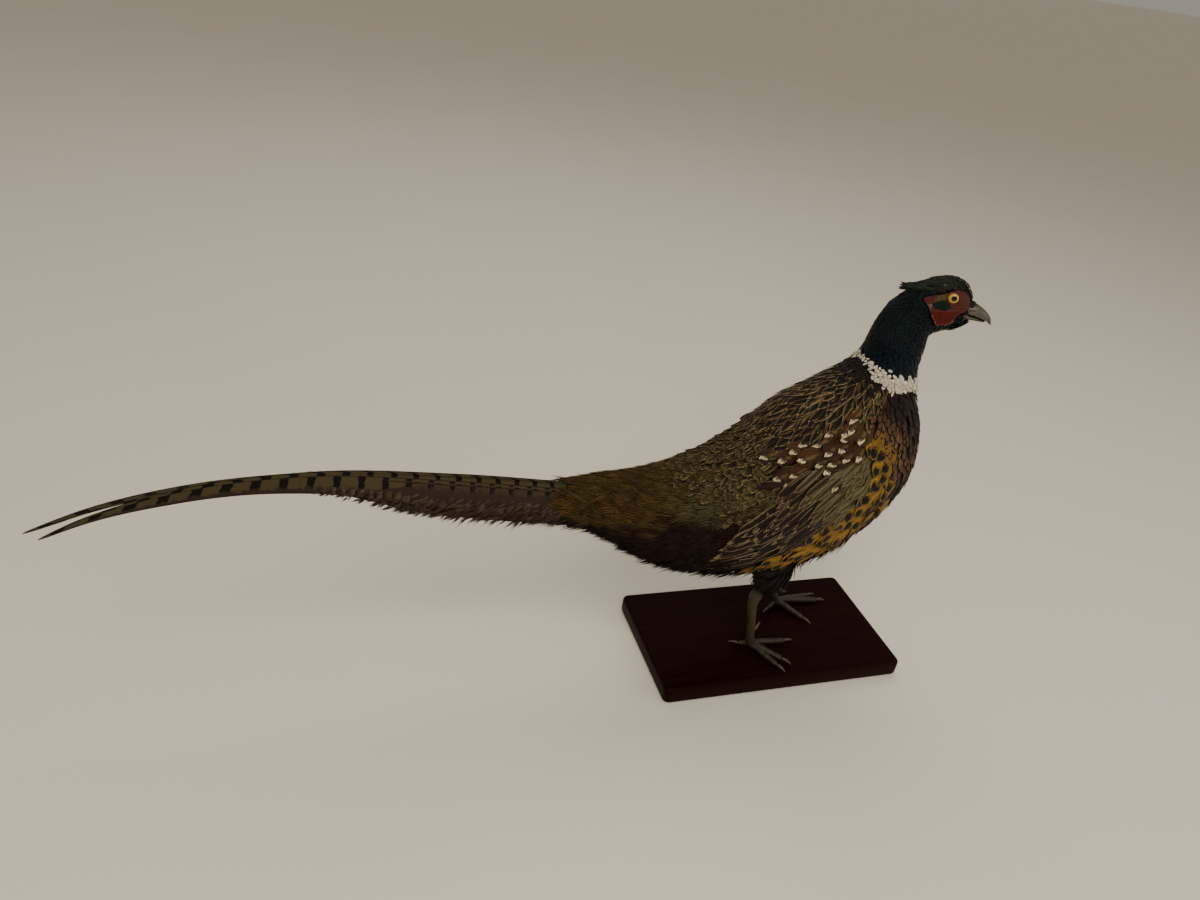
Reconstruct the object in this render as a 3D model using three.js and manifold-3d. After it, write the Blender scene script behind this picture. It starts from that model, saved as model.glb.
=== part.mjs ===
// A cock pheasant, life size, stuffed and standing on an oblong mahogany plinth.
//
// Millimetres. +X is the way the bird's body points, +Y is its left side, +Z is up.
// The origin is the middle of the plinth's underside. The bird stands with its body level
// across the plinth, its breast raised, its head turned to its right and its tail laid out
// behind. Its outer shape is that of the feathers.

import * as THREE from 'three';
import { mergeVertices } from 'three/addons/utils/BufferGeometryUtils.js';
import Module from 'manifold-3d';

const wasm = await Module();
wasm.setup();

// Driving dimensions.
const gap = 0.3;
const crumb = 0.04;
const hemShare = 0.42;
const plinthSize = { length: 270, width: 146, thickness: 19, corner: 7, rounding: 4 };
const standing = plinthSize.thickness + gap;
const coatEdge = 4.2;
const eyeSize = { radius: 6, apart: 11.6, x: 23.8, z: 37 };
const headTurn = -38;
const headPivot = { x: 70.1, y: 0, z: 375.7 };
const wattleSize = { thickness: 1.3, inset: 0.3 };
const tarsusLength = 69.4;
const spur = { length: 13, height: 23, inward: 68 };
const clawLength = 11;
const toeRoot = { tarsus: 5.6, toe: 4.6 };
const outerReach = 1400;
const sideReach = { body: 90, head: 30 };

const tau = Math.PI * 2;
const radians = THREE.MathUtils.degToRad;
const clamp = THREE.MathUtils.clamp;
const lerp = THREE.MathUtils.lerp;

// The trunk and neck are drawn along one bent axis. Each station gives the axis point (x, z),
// the lean of the axis above level and its turn about the upright, both in degrees, and how
// far the coat stands out from it on the back, on the belly and on each side.
const bodyStations = [
  { at: 0.00, x: -242, z: 201, lean: -8, turn: 0, back: 19, belly: 19, side: 24 },
  { at: 0.08, x: -212, z: 199, lean: -8, turn: 0, back: 24, belly: 26, side: 32 },
  { at: 0.20, x: -160, z: 189, lean: -6, turn: 0, back: 36, belly: 48, side: 46 },
  { at: 0.34, x: -100, z: 184, lean: 5, turn: 0, back: 62, belly: 69, side: 55 },
  { at: 0.43, x: -58, z: 190, lean: 18, turn: 0, back: 78, belly: 83, side: 58 },
  { at: 0.56, x: 0, z: 213, lean: 38, turn: 0, back: 96.5, belly: 92, side: 57 },
  { at: 0.68, x: 42, z: 252, lean: 58, turn: 0, back: 100.5, belly: 81, side: 52 },
  { at: 0.78, x: 54, z: 292, lean: 68, turn: 0, back: 74.5, belly: 59, side: 43 },
  { at: 0.87, x: 56.5, z: 328, lean: 70, turn: -4, back: 34, belly: 33, side: 33 },
  { at: 0.93, x: 57, z: 351, lean: 76, turn: -14, back: 28.5, belly: 26, side: 26 },
  { at: 0.97, x: 60, z: 372, lean: 76, turn: -26, back: 26.5, belly: 24.5, side: 24 },
  { at: 1.00, x: 62.5, z: 391, lean: 76, turn: -36, back: 21.5, belly: 20, side: 19.5 },
];
const collarAt = 0.868;
const jawAt = 0.952;

// The head is drawn along its own level axis from its pivot in the neck. Each station gives
// the crown line, the throat line and half the width.
const headStations = [
  { at: 0.00, x: -22, crown: 24, throat: 0, side: 9 },
  { at: 0.15, x: -13, crown: 33.5, throat: -9, side: 15.5 },
  { at: 0.32, x: -2, crown: 43, throat: -10.5, side: 17.5 },
  { at: 0.50, x: 10, crown: 49.5, throat: -8, side: 17.8 },
  { at: 0.66, x: 21, crown: 51.7, throat: -1, side: 17 },
  { at: 0.80, x: 30.5, crown: 49, throat: 5, side: 14.5 },
  { at: 0.92, x: 38.5, crown: 42, throat: 12.5, side: 10.8 },
  { at: 1.00, x: 43.5, crown: 33.5, throat: 18.5, side: 7.6 },
];

// The bill's two halves, along the head's axis: upper line, lower line, half width.
const upperBillStations = [
  { at: 0.00, x: 37, top: 34, bottom: 23.5, side: 8 },
  { at: 0.28, x: 43.8, top: 33, bottom: 23, side: 7.6 },
  { at: 0.50, x: 49, top: 31, bottom: 22.4, side: 6.4 },
  { at: 0.72, x: 54.5, top: 28, bottom: 20.6, side: 4.8 },
  { at: 0.90, x: 59, top: 23.6, bottom: 17.8, side: 2.8 },
  { at: 1.00, x: 61.8, top: 18.4, bottom: 16.4, side: 0.9 },
];
const lowerBillStations = [
  { at: 0.00, x: 38, top: 22.6, bottom: 17, side: 7 },
  { at: 0.40, x: 45.5, top: 22.2, bottom: 18, side: 6.2 },
  { at: 0.75, x: 52, top: 21, bottom: 18, side: 4.4 },
  { at: 1.00, x: 56.6, top: 19.3, bottom: 18.3, side: 1.8 },
];

// Side view of each folded wing, from the bend at the shoulder round to the tip.
const wingOutline = [
  [34, 246], [27, 222], [-3, 193], [-50, 166], [-98, 150], [-124, 147],
  [-112, 165], [-84, 200], [-62, 240], [-36, 268], [-2, 279], [25, 267],
];
const wingTipOutline = [
  [-101, 152], [-150, 143], [-176, 149], [-160, 163], [-108, 184], [-96, 177],
];

// Side view of the bare red face round the eye, in the head's frame.
const wattleOutline = [
  [-0.5, 33], [0.5, 27], [8, 19], [14, 9.5], [20, 8.5], [27, 12.5], [33, 17.5],
  [38.5, 24], [39.5, 31], [36.5, 38], [32, 43.5], [26, 45.5], [15, 41], [7, 38.5],
];

const legs = [
  {
    name: 'right',
    hand: -1,
    hip: [-18, -22, 138],
    knee: [-24, -27, 114],
    foot: [-25.6, -26.7],
    lean: 8.6,
    heading: -41,
    toes: [
      { name: 'inner', tip: [28, -25.4], width: 3.3 },
      { name: 'middle', tip: [9, -59], width: 3.5 },
      { name: 'outer', tip: [-2.5, -68.5], width: 3.1 },
      { name: 'hind', tip: [-45.3, -16.1], width: 2.6 },
    ],
  },
  {
    name: 'left',
    hand: 1,
    hip: [-8, 20, 138],
    knee: [0, 28, 110],
    foot: [35.5, 34.2],
    lean: 32,
    heading: -8,
    toes: [
      { name: 'inner', tip: [61.4, -4.4], width: 3.3 },
      { name: 'middle', tip: [98, 31], width: 3.5 },
      { name: 'outer', tip: [91, 43], width: 3.1 },
      { name: 'hind', tip: [14.1, 21.5], width: 2.6 },
    ],
  },
];

// Tail feathers in pairs, from the long middle pair outwards and down. Each has its length
// behind the rump, where the middle of its vane lies from the tail's ridge, its half width,
// its tilt and how its width tapers.
const longTaper = [
  { at: 0.00, width: 1 },
  { at: 0.25, width: 0.96 },
  { at: 0.44, width: 0.68 },
  { at: 0.60, width: 0.46 },
  { at: 0.80, width: 0.28 },
  { at: 0.95, width: 0.15 },
  { at: 1.00, width: 0.05 },
];
const shortTaper = [
  { at: 0.00, width: 1 },
  { at: 0.50, width: 0.84 },
  { at: 0.80, width: 0.48 },
  { at: 1.00, width: 0.05 },
];
const tailPairs = [
  { name: 'tail_middle', length: 437, out: 13.6, drop: 8.8, half: 15.5, tilt: 45, taper: longTaper },
  { name: 'tail_inner', length: 222, out: 15, drop: 17, half: 14.5, tilt: 54, taper: shortTaper },
  { name: 'tail_outer', length: 150, out: 12.4, drop: 22.4, half: 12.5, tilt: 61, taper: shortTaper },
];
const tailRidge = [
  [-245, 221], [-340, 234], [-455, 243], [-560, 231.5], [-620, 214.5], [-681, 187],
];
const tailSplay = 5;
const tailYaw = 1;
const vaneThickness = 1;
const vaneDome = 0.012;

// Smooth value between stations, for one named size.
function graph(stations, key) {
  const places = stations.map((station) => station.at);
  const values = stations.map((station) => station[key]);
  const curve = new THREE.CubicInterpolant(places, values, 1, new Float64Array(1));
  return (at) => curve.evaluate(clamp(at, 0, 1))[0];
}

function graphs(stations) {
  const keys = Object.keys(stations[0]).filter((key) => key !== 'at');
  return Object.fromEntries(keys.map((key) => [key, graph(stations, key)]));
}

// Closed solid from any three.js geometry, with shared corners merged and faces outward.
function solidOf(source) {
  const bare = source.clone();
  bare.deleteAttribute('normal');
  bare.deleteAttribute('uv');
  const merged = mergeVertices(bare, 1e-4);
  const corners = merged.attributes.position.array;
  const triangles = Uint32Array.from(merged.index.array);
  if (signedVolume(corners, triangles) < 0) {
    for (let i = 0; i < triangles.length; i += 3) {
      [triangles[i + 1], triangles[i + 2]] = [triangles[i + 2], triangles[i + 1]];
    }
  }
  return new wasm.Manifold(new wasm.Mesh({
    numProp: 3,
    vertProperties: Float32Array.from(corners),
    triVerts: triangles,
  }));
}

function signedVolume(corners, triangles) {
  const corner = (index) => new THREE.Vector3().fromArray(corners, triangles[index] * 3);
  let sum = 0;
  for (let i = 0; i < triangles.length; i += 3) {
    sum += corner(i).dot(corner(i + 1).cross(corner(i + 2)));
  }
  return sum;
}

// A ball's rings are laid along an axis: pointAt(along, angle, spread) places each corner,
// and spread is 0 only at the two end points, which close the ends flat.
function loft(sides, rings, pointAt) {
  const geometry = new THREE.SphereGeometry(1, sides, rings);
  const position = geometry.attributes.position;
  const columns = sides + 1;
  for (let i = 0; i < position.count; i += 1) {
    const ring = Math.floor(i / columns);
    const along = clamp((ring - 1) / (rings - 2), 0, 1);
    const spread = ring === 0 || ring === rings ? 0 : 1;
    const point = pointAt(along, ((i % columns) % sides) / sides * tau, spread);
    position.setXYZ(i, point.x, point.y, point.z);
  }
  return solidOf(geometry);
}

const bodySize = graphs(bodyStations);

function bodyFrame(at) {
  const lean = radians(bodySize.lean(at));
  const turn = radians(bodySize.turn(at));
  const ahead = new THREE.Vector3(Math.cos(turn), Math.sin(turn), 0);
  const up = new THREE.Vector3(0, 0, 1);
  return {
    centre: new THREE.Vector3(bodySize.x(at), 0, bodySize.z(at)),
    along: ahead.clone().multiplyScalar(Math.cos(lean)).addScaledVector(up, Math.sin(lean)),
    back: ahead.clone().multiplyScalar(-Math.sin(lean)).addScaledVector(up, Math.cos(lean)),
    side: new THREE.Vector3(-Math.sin(turn), Math.cos(turn), 0),
  };
}

function bodySolid(grow, sides = 22, rings = 27) {
  return loft(sides, rings, (along, angle, spread) => {
    const frame = bodyFrame(along);
    const rise = Math.sin(angle);
    const depth = rise > 0 ? bodySize.back(along) : bodySize.belly(along);
    return frame.centre
      .addScaledVector(frame.back, (depth + grow) * rise * spread)
      .addScaledVector(frame.side, (bodySize.side(along) + grow) * Math.cos(angle) * spread);
  });
}

// Half of space on one side of a plane, as a box much larger than the bird.
function halfSpace(point, direction) {
  const box = new THREE.BoxGeometry(outerReach, outerReach, outerReach);
  box.translate(0, 0, outerReach / 2 + gap / 2);
  const turn = new THREE.Quaternion().setFromUnitVectors(new THREE.Vector3(0, 0, 1), direction);
  box.applyQuaternion(turn);
  box.translate(point.x, point.y, point.z);
  return solidOf(box);
}

function cutAt(at) {
  const frame = bodyFrame(at);
  return {
    above: halfSpace(frame.centre, frame.along),
    below: halfSpace(frame.centre, frame.along.clone().negate()),
  };
}

// Places a solid from the head's own frame in the bird's.
function onHead(geometry) {
  geometry.rotateZ(radians(headTurn));
  geometry.translate(headPivot.x, headPivot.y, headPivot.z);
  return geometry;
}

function headPoint(x, y, z) {
  return new THREE.Vector3(x, y, z)
    .applyAxisAngle(new THREE.Vector3(0, 0, 1), radians(headTurn))
    .add(new THREE.Vector3(headPivot.x, headPivot.y, headPivot.z));
}

function headLoft(stations, topKey, bottomKey, grow, sides, rings) {
  const size = graphs(stations);
  return loft(sides, rings, (along, angle, spread) => {
    const top = size[topKey](along) + grow;
    const bottom = size[bottomKey](along) - grow;
    const middle = (top + bottom) / 2;
    const half = (top - bottom) / 2;
    const x = size.x(along) + grow * (along * 2 - 1);
    return headPoint(
      x,
      (size.side(along) + grow) * Math.cos(angle) * spread,
      middle + half * Math.sin(angle) * spread,
    );
  });
}

const headSolid = (grow) => headLoft(headStations, 'crown', 'throat', grow, 18, 14);
const upperBillSolid = (grow) => headLoft(upperBillStations, 'top', 'bottom', grow, 12, 10);
const lowerBillSolid = (grow) => headLoft(lowerBillStations, 'top', 'bottom', grow, 12, 7);

function eyeSolid(hand, grow) {
  const ball = new THREE.SphereGeometry(eyeSize.radius + grow, 12, 9);
  ball.translate(eyeSize.x, hand * eyeSize.apart, eyeSize.z);
  return solidOf(onHead(ball));
}

// A side-view outline made a block that reaches from the middle out to one side.
function sideBlock(outline, hand, reach) {
  const points = outline.map(([x, z]) => new THREE.Vector2(x, z));
  const closed = new THREE.SplineCurve([...points, points[0]]);
  const shape = new THREE.Shape(closed.getPoints(outline.length).slice(0, -1));
  const block = new THREE.ExtrudeGeometry(shape, { depth: reach, bevelEnabled: false });
  block.rotateX(Math.PI / 2);
  if (hand > 0) {
    block.translate(0, reach, 0);
  }
  return block;
}

function wattleSolid(hand) {
  const block = solidOf(onHead(sideBlock(wattleOutline, hand, sideReach.head)));
  return headSolid(wattleSize.inset + wattleSize.thickness)
    .intersect(block)
    .subtract(headSolid(wattleSize.inset))
    .subtract(eyeSolid(hand, gap));
}

// Pointed tuft behind the ear that stands back and out from the nape.
function tuftSolid(hand) {
  const root = { x: 2, y: 9, z: 35 };
  const tip = { x: -24, y: 11.5, z: 31.5 };
  const size = { high: 5, wide: 3.4, point: 0.5 };
  return loft(8, 7, (along, angle, spread) => {
    const taper = lerp(1, size.point / size.wide, along ** 1.3);
    return headPoint(
      lerp(root.x, tip.x, along),
      hand * lerp(root.y, tip.y, along) + size.wide * taper * Math.cos(angle) * spread,
      lerp(root.z, tip.z, along) + size.high * taper * Math.sin(angle) * spread,
    );
  });
}

// A layer of feathers that lies on the body's side, within a side-view outline.
function sideLayer(outline, hand, thickness) {
  const block = solidOf(sideBlock(outline, hand, sideReach.body));
  return bodySolid(gap + thickness).intersect(block).subtract(bodySolid(gap));
}

// A round limb through three centres, given how thick it is along the way.
function limb(centres, stations, sides, rings) {
  const path = new THREE.CatmullRomCurve3(centres, false, 'centripetal');
  const size = graphs(stations);
  const upright = new THREE.Vector3(0, 0, 1);
  const level = new THREE.Vector3(1, 0, 0);
  return loft(sides, rings, (along, angle, spread) => {
    const tangent = path.getTangentAt(along);
    const hint = Math.abs(tangent.z) > 0.8 ? level : upright;
    const side = new THREE.Vector3().crossVectors(hint, tangent).normalize();
    const rise = new THREE.Vector3().crossVectors(tangent, side);
    return path.getPointAt(along)
      .addScaledVector(side, size.wide(along) * Math.cos(angle) * spread)
      .addScaledVector(rise, size.high(along) * Math.sin(angle) * spread);
  });
}

const at3 = (x, y, z) => new THREE.Vector3(x, y, z);

function anklePoint(leg) {
  const rise = Math.sqrt(tarsusLength ** 2 - leg.lean ** 2);
  return at3(leg.foot[0] - leg.lean, leg.foot[1], standing + rise);
}

// The bare leg, from its feathers' hem round the ankle and down to the ball of the foot.
function tarsusSolid(leg, grow) {
  const ankle = anklePoint(leg);
  const shin = ankle.clone().lerp(at3(...leg.knee), hemShare);
  const ball = at3(leg.foot[0], leg.foot[1], standing + toeRoot.tarsus);
  const middle = ankle.clone().lerp(ball, 0.5).add(at3(-0.8, 0, 0));
  return limb([shin, ankle, middle, ball], [
    { at: 0.00, wide: 3.6 + grow, high: 4.4 + grow },
    { at: 0.12, wide: 5 + grow, high: 5.8 + grow },
    { at: 0.28, wide: 4 + grow, high: 4.8 + grow },
    { at: 0.60, wide: 3.4 + grow, high: 4.2 + grow },
    { at: 0.87, wide: 3.8 + grow, high: 4.4 + grow },
    { at: 1.00, wide: 4.8 + grow, high: 4.9 + grow },
  ], 8, 10);
}

// The feathered part of the leg, from the flank to just above the ankle.
function thighSolid(leg) {
  const hem = anklePoint(leg).lerp(at3(...leg.knee), hemShare);
  return limb([at3(...leg.hip), at3(...leg.knee), hem], [
    { at: 0.00, wide: 16, high: 24 },
    { at: 0.35, wide: 18, high: 24 },
    { at: 0.65, wide: 15.5, high: 20 },
    { at: 0.88, wide: 11, high: 13.5 },
    { at: 1.00, wide: 7.5, high: 9 },
  ], 14, 9);
}

function spurSolid(leg) {
  const root = at3(leg.foot[0] - 1.6, leg.foot[1], standing + spur.height);
  const inward = radians(leg.heading - leg.hand * spur.inward);
  const reach = (length, rise) => root.clone()
    .add(at3(Math.cos(inward) * length, Math.sin(inward) * length, rise));
  return limb([reach(1, 0), reach(spur.length * 0.6, 0.6), reach(spur.length, 6)], [
    { at: 0.00, wide: 2.6, high: 3 },
    { at: 0.55, wide: 1.7, high: 2 },
    { at: 1.00, wide: 0.4, high: 0.4 },
  ], 8, 6);
}

// A toe lies on the plinth with a low arch, and its claw carries on from it to the tip.
function toePath(leg, toe) {
  const ball = at3(leg.foot[0], leg.foot[1], standing + toeRoot.toe);
  const tip = at3(toe.tip[0], toe.tip[1], standing);
  const reach = tip.clone().sub(ball).setZ(0);
  const span = reach.length();
  reach.normalize();
  const along = (length, z) => at3(ball.x, ball.y, 0).addScaledVector(reach, length).setZ(z);
  return { ball, reach, span, along };
}

function toeSolid(leg, toe, grow = 0) {
  const path = toePath(leg, toe);
  const end = path.span - clawLength;
  const slim = toe.width * 0.76;
  return limb([
    path.ball,
    path.along(end * 0.5, standing + toe.width + 1.2),
    path.along(end, standing + slim + 0.1),
  ], [
    { at: 0.00, wide: toe.width + 0.6 + grow, high: toe.width + 0.4 + grow },
    { at: 0.30, wide: toe.width * 0.92 + grow, high: toe.width * 0.9 + grow },
    { at: 0.46, wide: toe.width + 0.1 + grow, high: toe.width + grow },
    { at: 0.62, wide: toe.width * 0.84 + grow, high: toe.width * 0.84 + grow },
    { at: 0.80, wide: toe.width * 0.92 + grow, high: toe.width * 0.88 + grow },
    { at: 1.00, wide: slim + grow, high: slim + grow },
  ], 8, 8);
}

function clawSolid(leg, toe) {
  const path = toePath(leg, toe);
  const start = path.span - clawLength + gap + 0.1;
  const base = toe.width * 0.62;
  return limb([
    path.along(start, standing + toe.width * 0.76 + 0.3),
    path.along(start + clawLength * 0.5, standing + base + 0.5),
    path.along(path.span, standing + 0.6),
  ], [
    { at: 0.00, wide: base * 0.82, high: base },
    { at: 0.50, wide: base * 0.58, high: base * 0.7 },
    { at: 1.00, wide: 0.35, high: 0.4 },
  ], 6, 6);
}

const ridgeCurve = new THREE.CatmullRomCurve3(
  tailRidge.map(([x, z]) => new THREE.Vector3(x, 0, z)),
);
const ridgeLength = ridgeCurve.getLength();
const tailClose = graph(longTaper, 'width');

// A point on the tail's ridge, which rises from the rump and then droops to the tip.
function ridgePoint(run) {
  const point = ridgeCurve.getPointAt(clamp(run / ridgeLength, 0, 1));
  point.y = run * Math.sin(radians(tailYaw));
  return point;
}

// One long vane: a thin, slightly domed strip that tapers to its tip.
function tailVane(pair, hand) {
  const width = graph(pair.taper, 'width');
  const tilt = radians(pair.tilt);
  return loft(6, 18, (along, angle, spread) => {
    const share = along * pair.length / tailPairs[0].length;
    const close = tailClose(share);
    const apart = pair.out * close + tailSplay * share ** 6;
    const across = pair.half * Math.max(width(along), 0.05) * Math.cos(angle) * spread;
    const rise = vaneThickness / 2 * Math.sin(angle) * spread - vaneDome * across ** 2;
    return ridgePoint(along * pair.length).add(at3(
      0,
      hand * (apart + across * Math.cos(tilt) + rise * Math.sin(tilt)),
      -pair.drop * close - across * Math.sin(tilt) + rise * Math.cos(tilt),
    ));
  });
}

function plinthSolid() {
  const { length, width, thickness, corner, rounding } = plinthSize;
  const x = length / 2 - rounding;
  const y = width / 2 - rounding;
  const round = corner - rounding;
  const shape = new THREE.Shape();
  shape.moveTo(x - round, -y);
  shape.absarc(x - round, -y + round, round, -Math.PI / 2, 0);
  shape.absarc(x - round, y - round, round, 0, Math.PI / 2);
  shape.absarc(-x + round, y - round, round, Math.PI / 2, Math.PI);
  shape.absarc(-x + round, -y + round, round, Math.PI, Math.PI * 1.5);
  const slab = new THREE.ExtrudeGeometry(shape, {
    depth: thickness - rounding * 2,
    bevelThickness: rounding,
    bevelSize: rounding,
    bevelSegments: 2,
    curveSegments: 3,
  });
  slab.translate(0, 0, rounding);
  return solidOf(slab);
}

function finish(color, roughness, metalness = 0) {
  return new THREE.MeshStandardMaterial({ color, roughness, metalness });
}

const plumage = {
  body: finish(0x6b3f1c, 0.85),
  neck: finish(0x101c30, 0.45),
  wing: finish(0x5c5138, 0.85),
  thigh: finish(0x3a2412, 0.9),
  tail: finish(0x7a6a40, 0.8),
  crown: finish(0x16221a, 0.5),
};
const horn = finish(0x8a8672, 0.5);
const shank = finish(0x7a7058, 0.65);
const redSkin = finish(0x8e1c20, 0.7);
const glassEye = finish(0xd08a1e, 0.08);
const mahogany = finish(0x35100c, 0.25);

const bird = new THREE.Group();

// Cutting one solid by its neighbours can leave crumbs and slivers; a part keeps only its
// main piece.
function mainPiece(solid) {
  const pieces = solid.simplify(crumb).decompose();
  return pieces.reduce((main, piece) => (piece.volume() > main.volume() ? piece : main));
}

function addPart(name, solid, material) {
  const mesh = mainPiece(solid).getMesh();
  const geometry = new THREE.BufferGeometry();
  geometry.setAttribute('position', new THREE.BufferAttribute(mesh.vertProperties, mesh.numProp));
  geometry.setIndex(new THREE.BufferAttribute(mesh.triVerts, 1));
  geometry.computeVertexNormals();
  const part = new THREE.Mesh(geometry, material);
  part.name = name;
  bird.add(part);
}

addPart('plinth', plinthSolid(), mahogany);

const hands = [['right', -1], ['left', 1]];
const collar = cutAt(collarAt);
const jaw = cutAt(jawAt);
const wholeBody = bodySolid(0);
const thighRoom = bodySolid(gap);

addPart('trunk', wholeBody.intersect(collar.below), plumage.body);
const throat = wholeBody.intersect(collar.above).intersect(jaw.below);
addPart('neck', throat.subtract(headSolid(gap)), plumage.neck);

const eyes = hands.map(([, hand]) => eyeSolid(hand, gap));
const head = headSolid(0)
  .add(wholeBody.intersect(jaw.above))
  .subtract(eyes[0])
  .subtract(eyes[1])
  .subtract(upperBillSolid(gap))
  .subtract(lowerBillSolid(gap));
addPart('head', head, plumage.crown);
addPart('upper_bill', upperBillSolid(0), horn);
addPart('lower_bill', lowerBillSolid(0).subtract(upperBillSolid(gap)), horn);

for (const [name, hand] of hands) {
  addPart(`eye_${name}`, eyeSolid(hand, 0), glassEye);
  addPart(`wattle_${name}`, wattleSolid(hand), redSkin);
  addPart(`ear_tuft_${name}`, tuftSolid(hand).subtract(headSolid(gap)), plumage.crown);
  const wing = sideLayer(wingOutline, hand, coatEdge);
  const wingRoom = [-gap, 0, gap].reduce(
    (room, rise) => room.add(wing.translate([-gap, 0, rise])),
    wing,
  );
  const wingTip = sideLayer(wingTipOutline, hand, coatEdge / 2).subtract(wingRoom);
  addPart(`wing_${name}`, wing, plumage.wing);
  addPart(`wing_tip_${name}`, wingTip, plumage.wing);
  for (const pair of tailPairs) {
    addPart(`${pair.name}_${name}`, tailVane(pair, hand), plumage.tail);
  }
}

for (const leg of legs) {
  const tarsus = tarsusSolid(leg, 0);
  const tarsusRoom = tarsusSolid(leg, gap);
  const thigh = thighSolid(leg).subtract(thighRoom).subtract(tarsusRoom);
  addPart(`thigh_${leg.name}`, thigh, plumage.thigh);
  addPart(`tarsus_${leg.name}`, tarsus, shank);
  addPart(`spur_${leg.name}`, spurSolid(leg).subtract(tarsusRoom), horn);
  let taken = tarsusRoom;
  for (const toe of leg.toes) {
    addPart(`toe_${leg.name}_${toe.name}`, toeSolid(leg, toe).subtract(taken), shank);
    addPart(`claw_${leg.name}_${toe.name}`, clawSolid(leg, toe), horn);
    taken = taken.add(toeSolid(leg, toe, gap));
  }
}

export default bird;
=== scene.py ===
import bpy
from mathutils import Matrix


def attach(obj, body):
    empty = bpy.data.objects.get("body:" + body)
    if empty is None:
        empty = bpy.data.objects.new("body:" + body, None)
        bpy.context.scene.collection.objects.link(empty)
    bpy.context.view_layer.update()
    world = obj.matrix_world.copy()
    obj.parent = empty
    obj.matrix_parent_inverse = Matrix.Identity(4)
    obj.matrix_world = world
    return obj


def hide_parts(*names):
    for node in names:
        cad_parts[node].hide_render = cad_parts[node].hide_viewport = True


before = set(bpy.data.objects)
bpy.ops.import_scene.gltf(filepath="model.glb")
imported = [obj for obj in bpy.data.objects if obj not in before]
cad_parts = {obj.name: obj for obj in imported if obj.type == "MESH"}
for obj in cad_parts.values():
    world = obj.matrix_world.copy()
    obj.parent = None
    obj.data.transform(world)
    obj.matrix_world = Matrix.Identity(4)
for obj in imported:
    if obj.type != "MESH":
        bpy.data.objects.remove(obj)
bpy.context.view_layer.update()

from copy import copy
from math import cos, pi, radians, sin, tau

import bmesh
import bpy
import numpy as np
from mathutils import Matrix, Vector
from mathutils import noise as noiseLib
from mathutils.bvhtree import BVHTree
from mathutils.kdtree import KDTree

mm = 0.001
hands = (("right", -1), ("left", 1))


# A smooth line through named stations; works on one place or on many at once.
def curve(stations, key):
    places = np.array(stations["at"], float)
    values = np.array(stations[key], float)
    slopes = np.gradient(values, places)

    def at(place):
        place = np.clip(place, places[0], places[-1])
        i = np.clip(np.searchsorted(places, place) - 1, 0, len(places) - 2)
        step = places[i + 1] - places[i]
        f = (place - places[i]) / step
        rise = values[i] * (2 * f ** 3 - 3 * f ** 2 + 1) + values[i + 1] * (3 * f ** 2 - 2 * f ** 3)
        return rise + step * (slopes[i] * (f ** 3 - 2 * f ** 2 + f) + slopes[i + 1] * (f ** 3 - f ** 2))

    return at


def curves(stations, *keys):
    return [curve(stations, key) for key in keys]


def smoothStep(low, high, value):
    f = np.clip((value - low) / (high - low), 0, 1)
    return f * f * (3 - 2 * f)


def linear(code):  # a colour as painters write it, made linear
    parts = [int(code[i:i + 2], 16) / 255 for i in (1, 3, 5)]
    lit = [p / 12.92 if p <= 0.04045 else ((p + 0.055) / 1.055) ** 2.4 for p in parts]
    return (*lit, 1.0)


def paint(code):
    return np.array(linear(code)[:3])


def unit(vectors):  # arrows made one long; the last axis holds x, y and z
    return vectors / np.linalg.norm(vectors, axis=-1, keepdims=True)


def runAlong(line):  # how far each point of a line lies from its start
    return np.concatenate(([0], np.cumsum(np.linalg.norm(np.diff(line, axis=0), axis=1))))


def treeOf(points):
    tree = KDTree(len(points))
    for index, point in enumerate(points):
        tree.insert(point, index)
    tree.balance()
    return tree


def meshOf(bm, name):
    mesh = bpy.data.meshes.new(name)
    bm.to_mesh(mesh)
    bm.free()
    return mesh


def smoothFaces(bm):
    for piece in bm.faces:
        piece.smooth = True


def soften(bm):
    bmesh.ops.smooth_vert(bm, verts=bm.verts, factor=0.5,
                          use_axis_x=True, use_axis_y=True, use_axis_z=True)


def addObject(name, data):
    made = bpy.data.objects.new(name, data)
    bpy.context.collection.objects.link(made)
    return made


def place(name, mesh, material, slotName, *replaced):
    piece = addObject(name, mesh)
    mesh.materials.append(material)
    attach(piece, "root")
    if replaced:
        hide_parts(*replaced)
    return piece


# The coat's outer surface comes from the flesh nodes.
coat = {
    "flesh": ["trunk", "neck", "head"] + [f"{part}_{hand}" for hand, _ in hands
                                          for part in ("wing", "wing_tip", "thigh")],
    "voxel": 1.8 * mm,
    "smoothing": 8,
    # how deep the skin lies under it, and where one depth passes into the next
    "bodyDepth": 4.2 * mm,
    "neckDepth": 2.6 * mm,
    "headDepth": 1.3 * mm,
    "neckHeight": (320, 345),
    "neckFront": (-20, 20),
    "headHeight": (375, 400),
    "skinShade": 0.55,
    "down": "#0d0805",
}


def largestIsland(bm):
    seen = set()
    best = []
    for start in bm.verts:
        if start in seen:
            continue
        island, stack = [], [start]
        seen.add(start)
        while stack:
            vert = stack.pop()
            island.append(vert)
            for edge in vert.link_edges:
                other = edge.other_vert(vert)
                if other not in seen:
                    seen.add(other)
                    stack.append(other)
        best = max(best, island, key=len)
    kept = set(best)
    bmesh.ops.delete(bm, geom=[v for v in bm.verts if v not in kept], context="VERTS")


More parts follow.
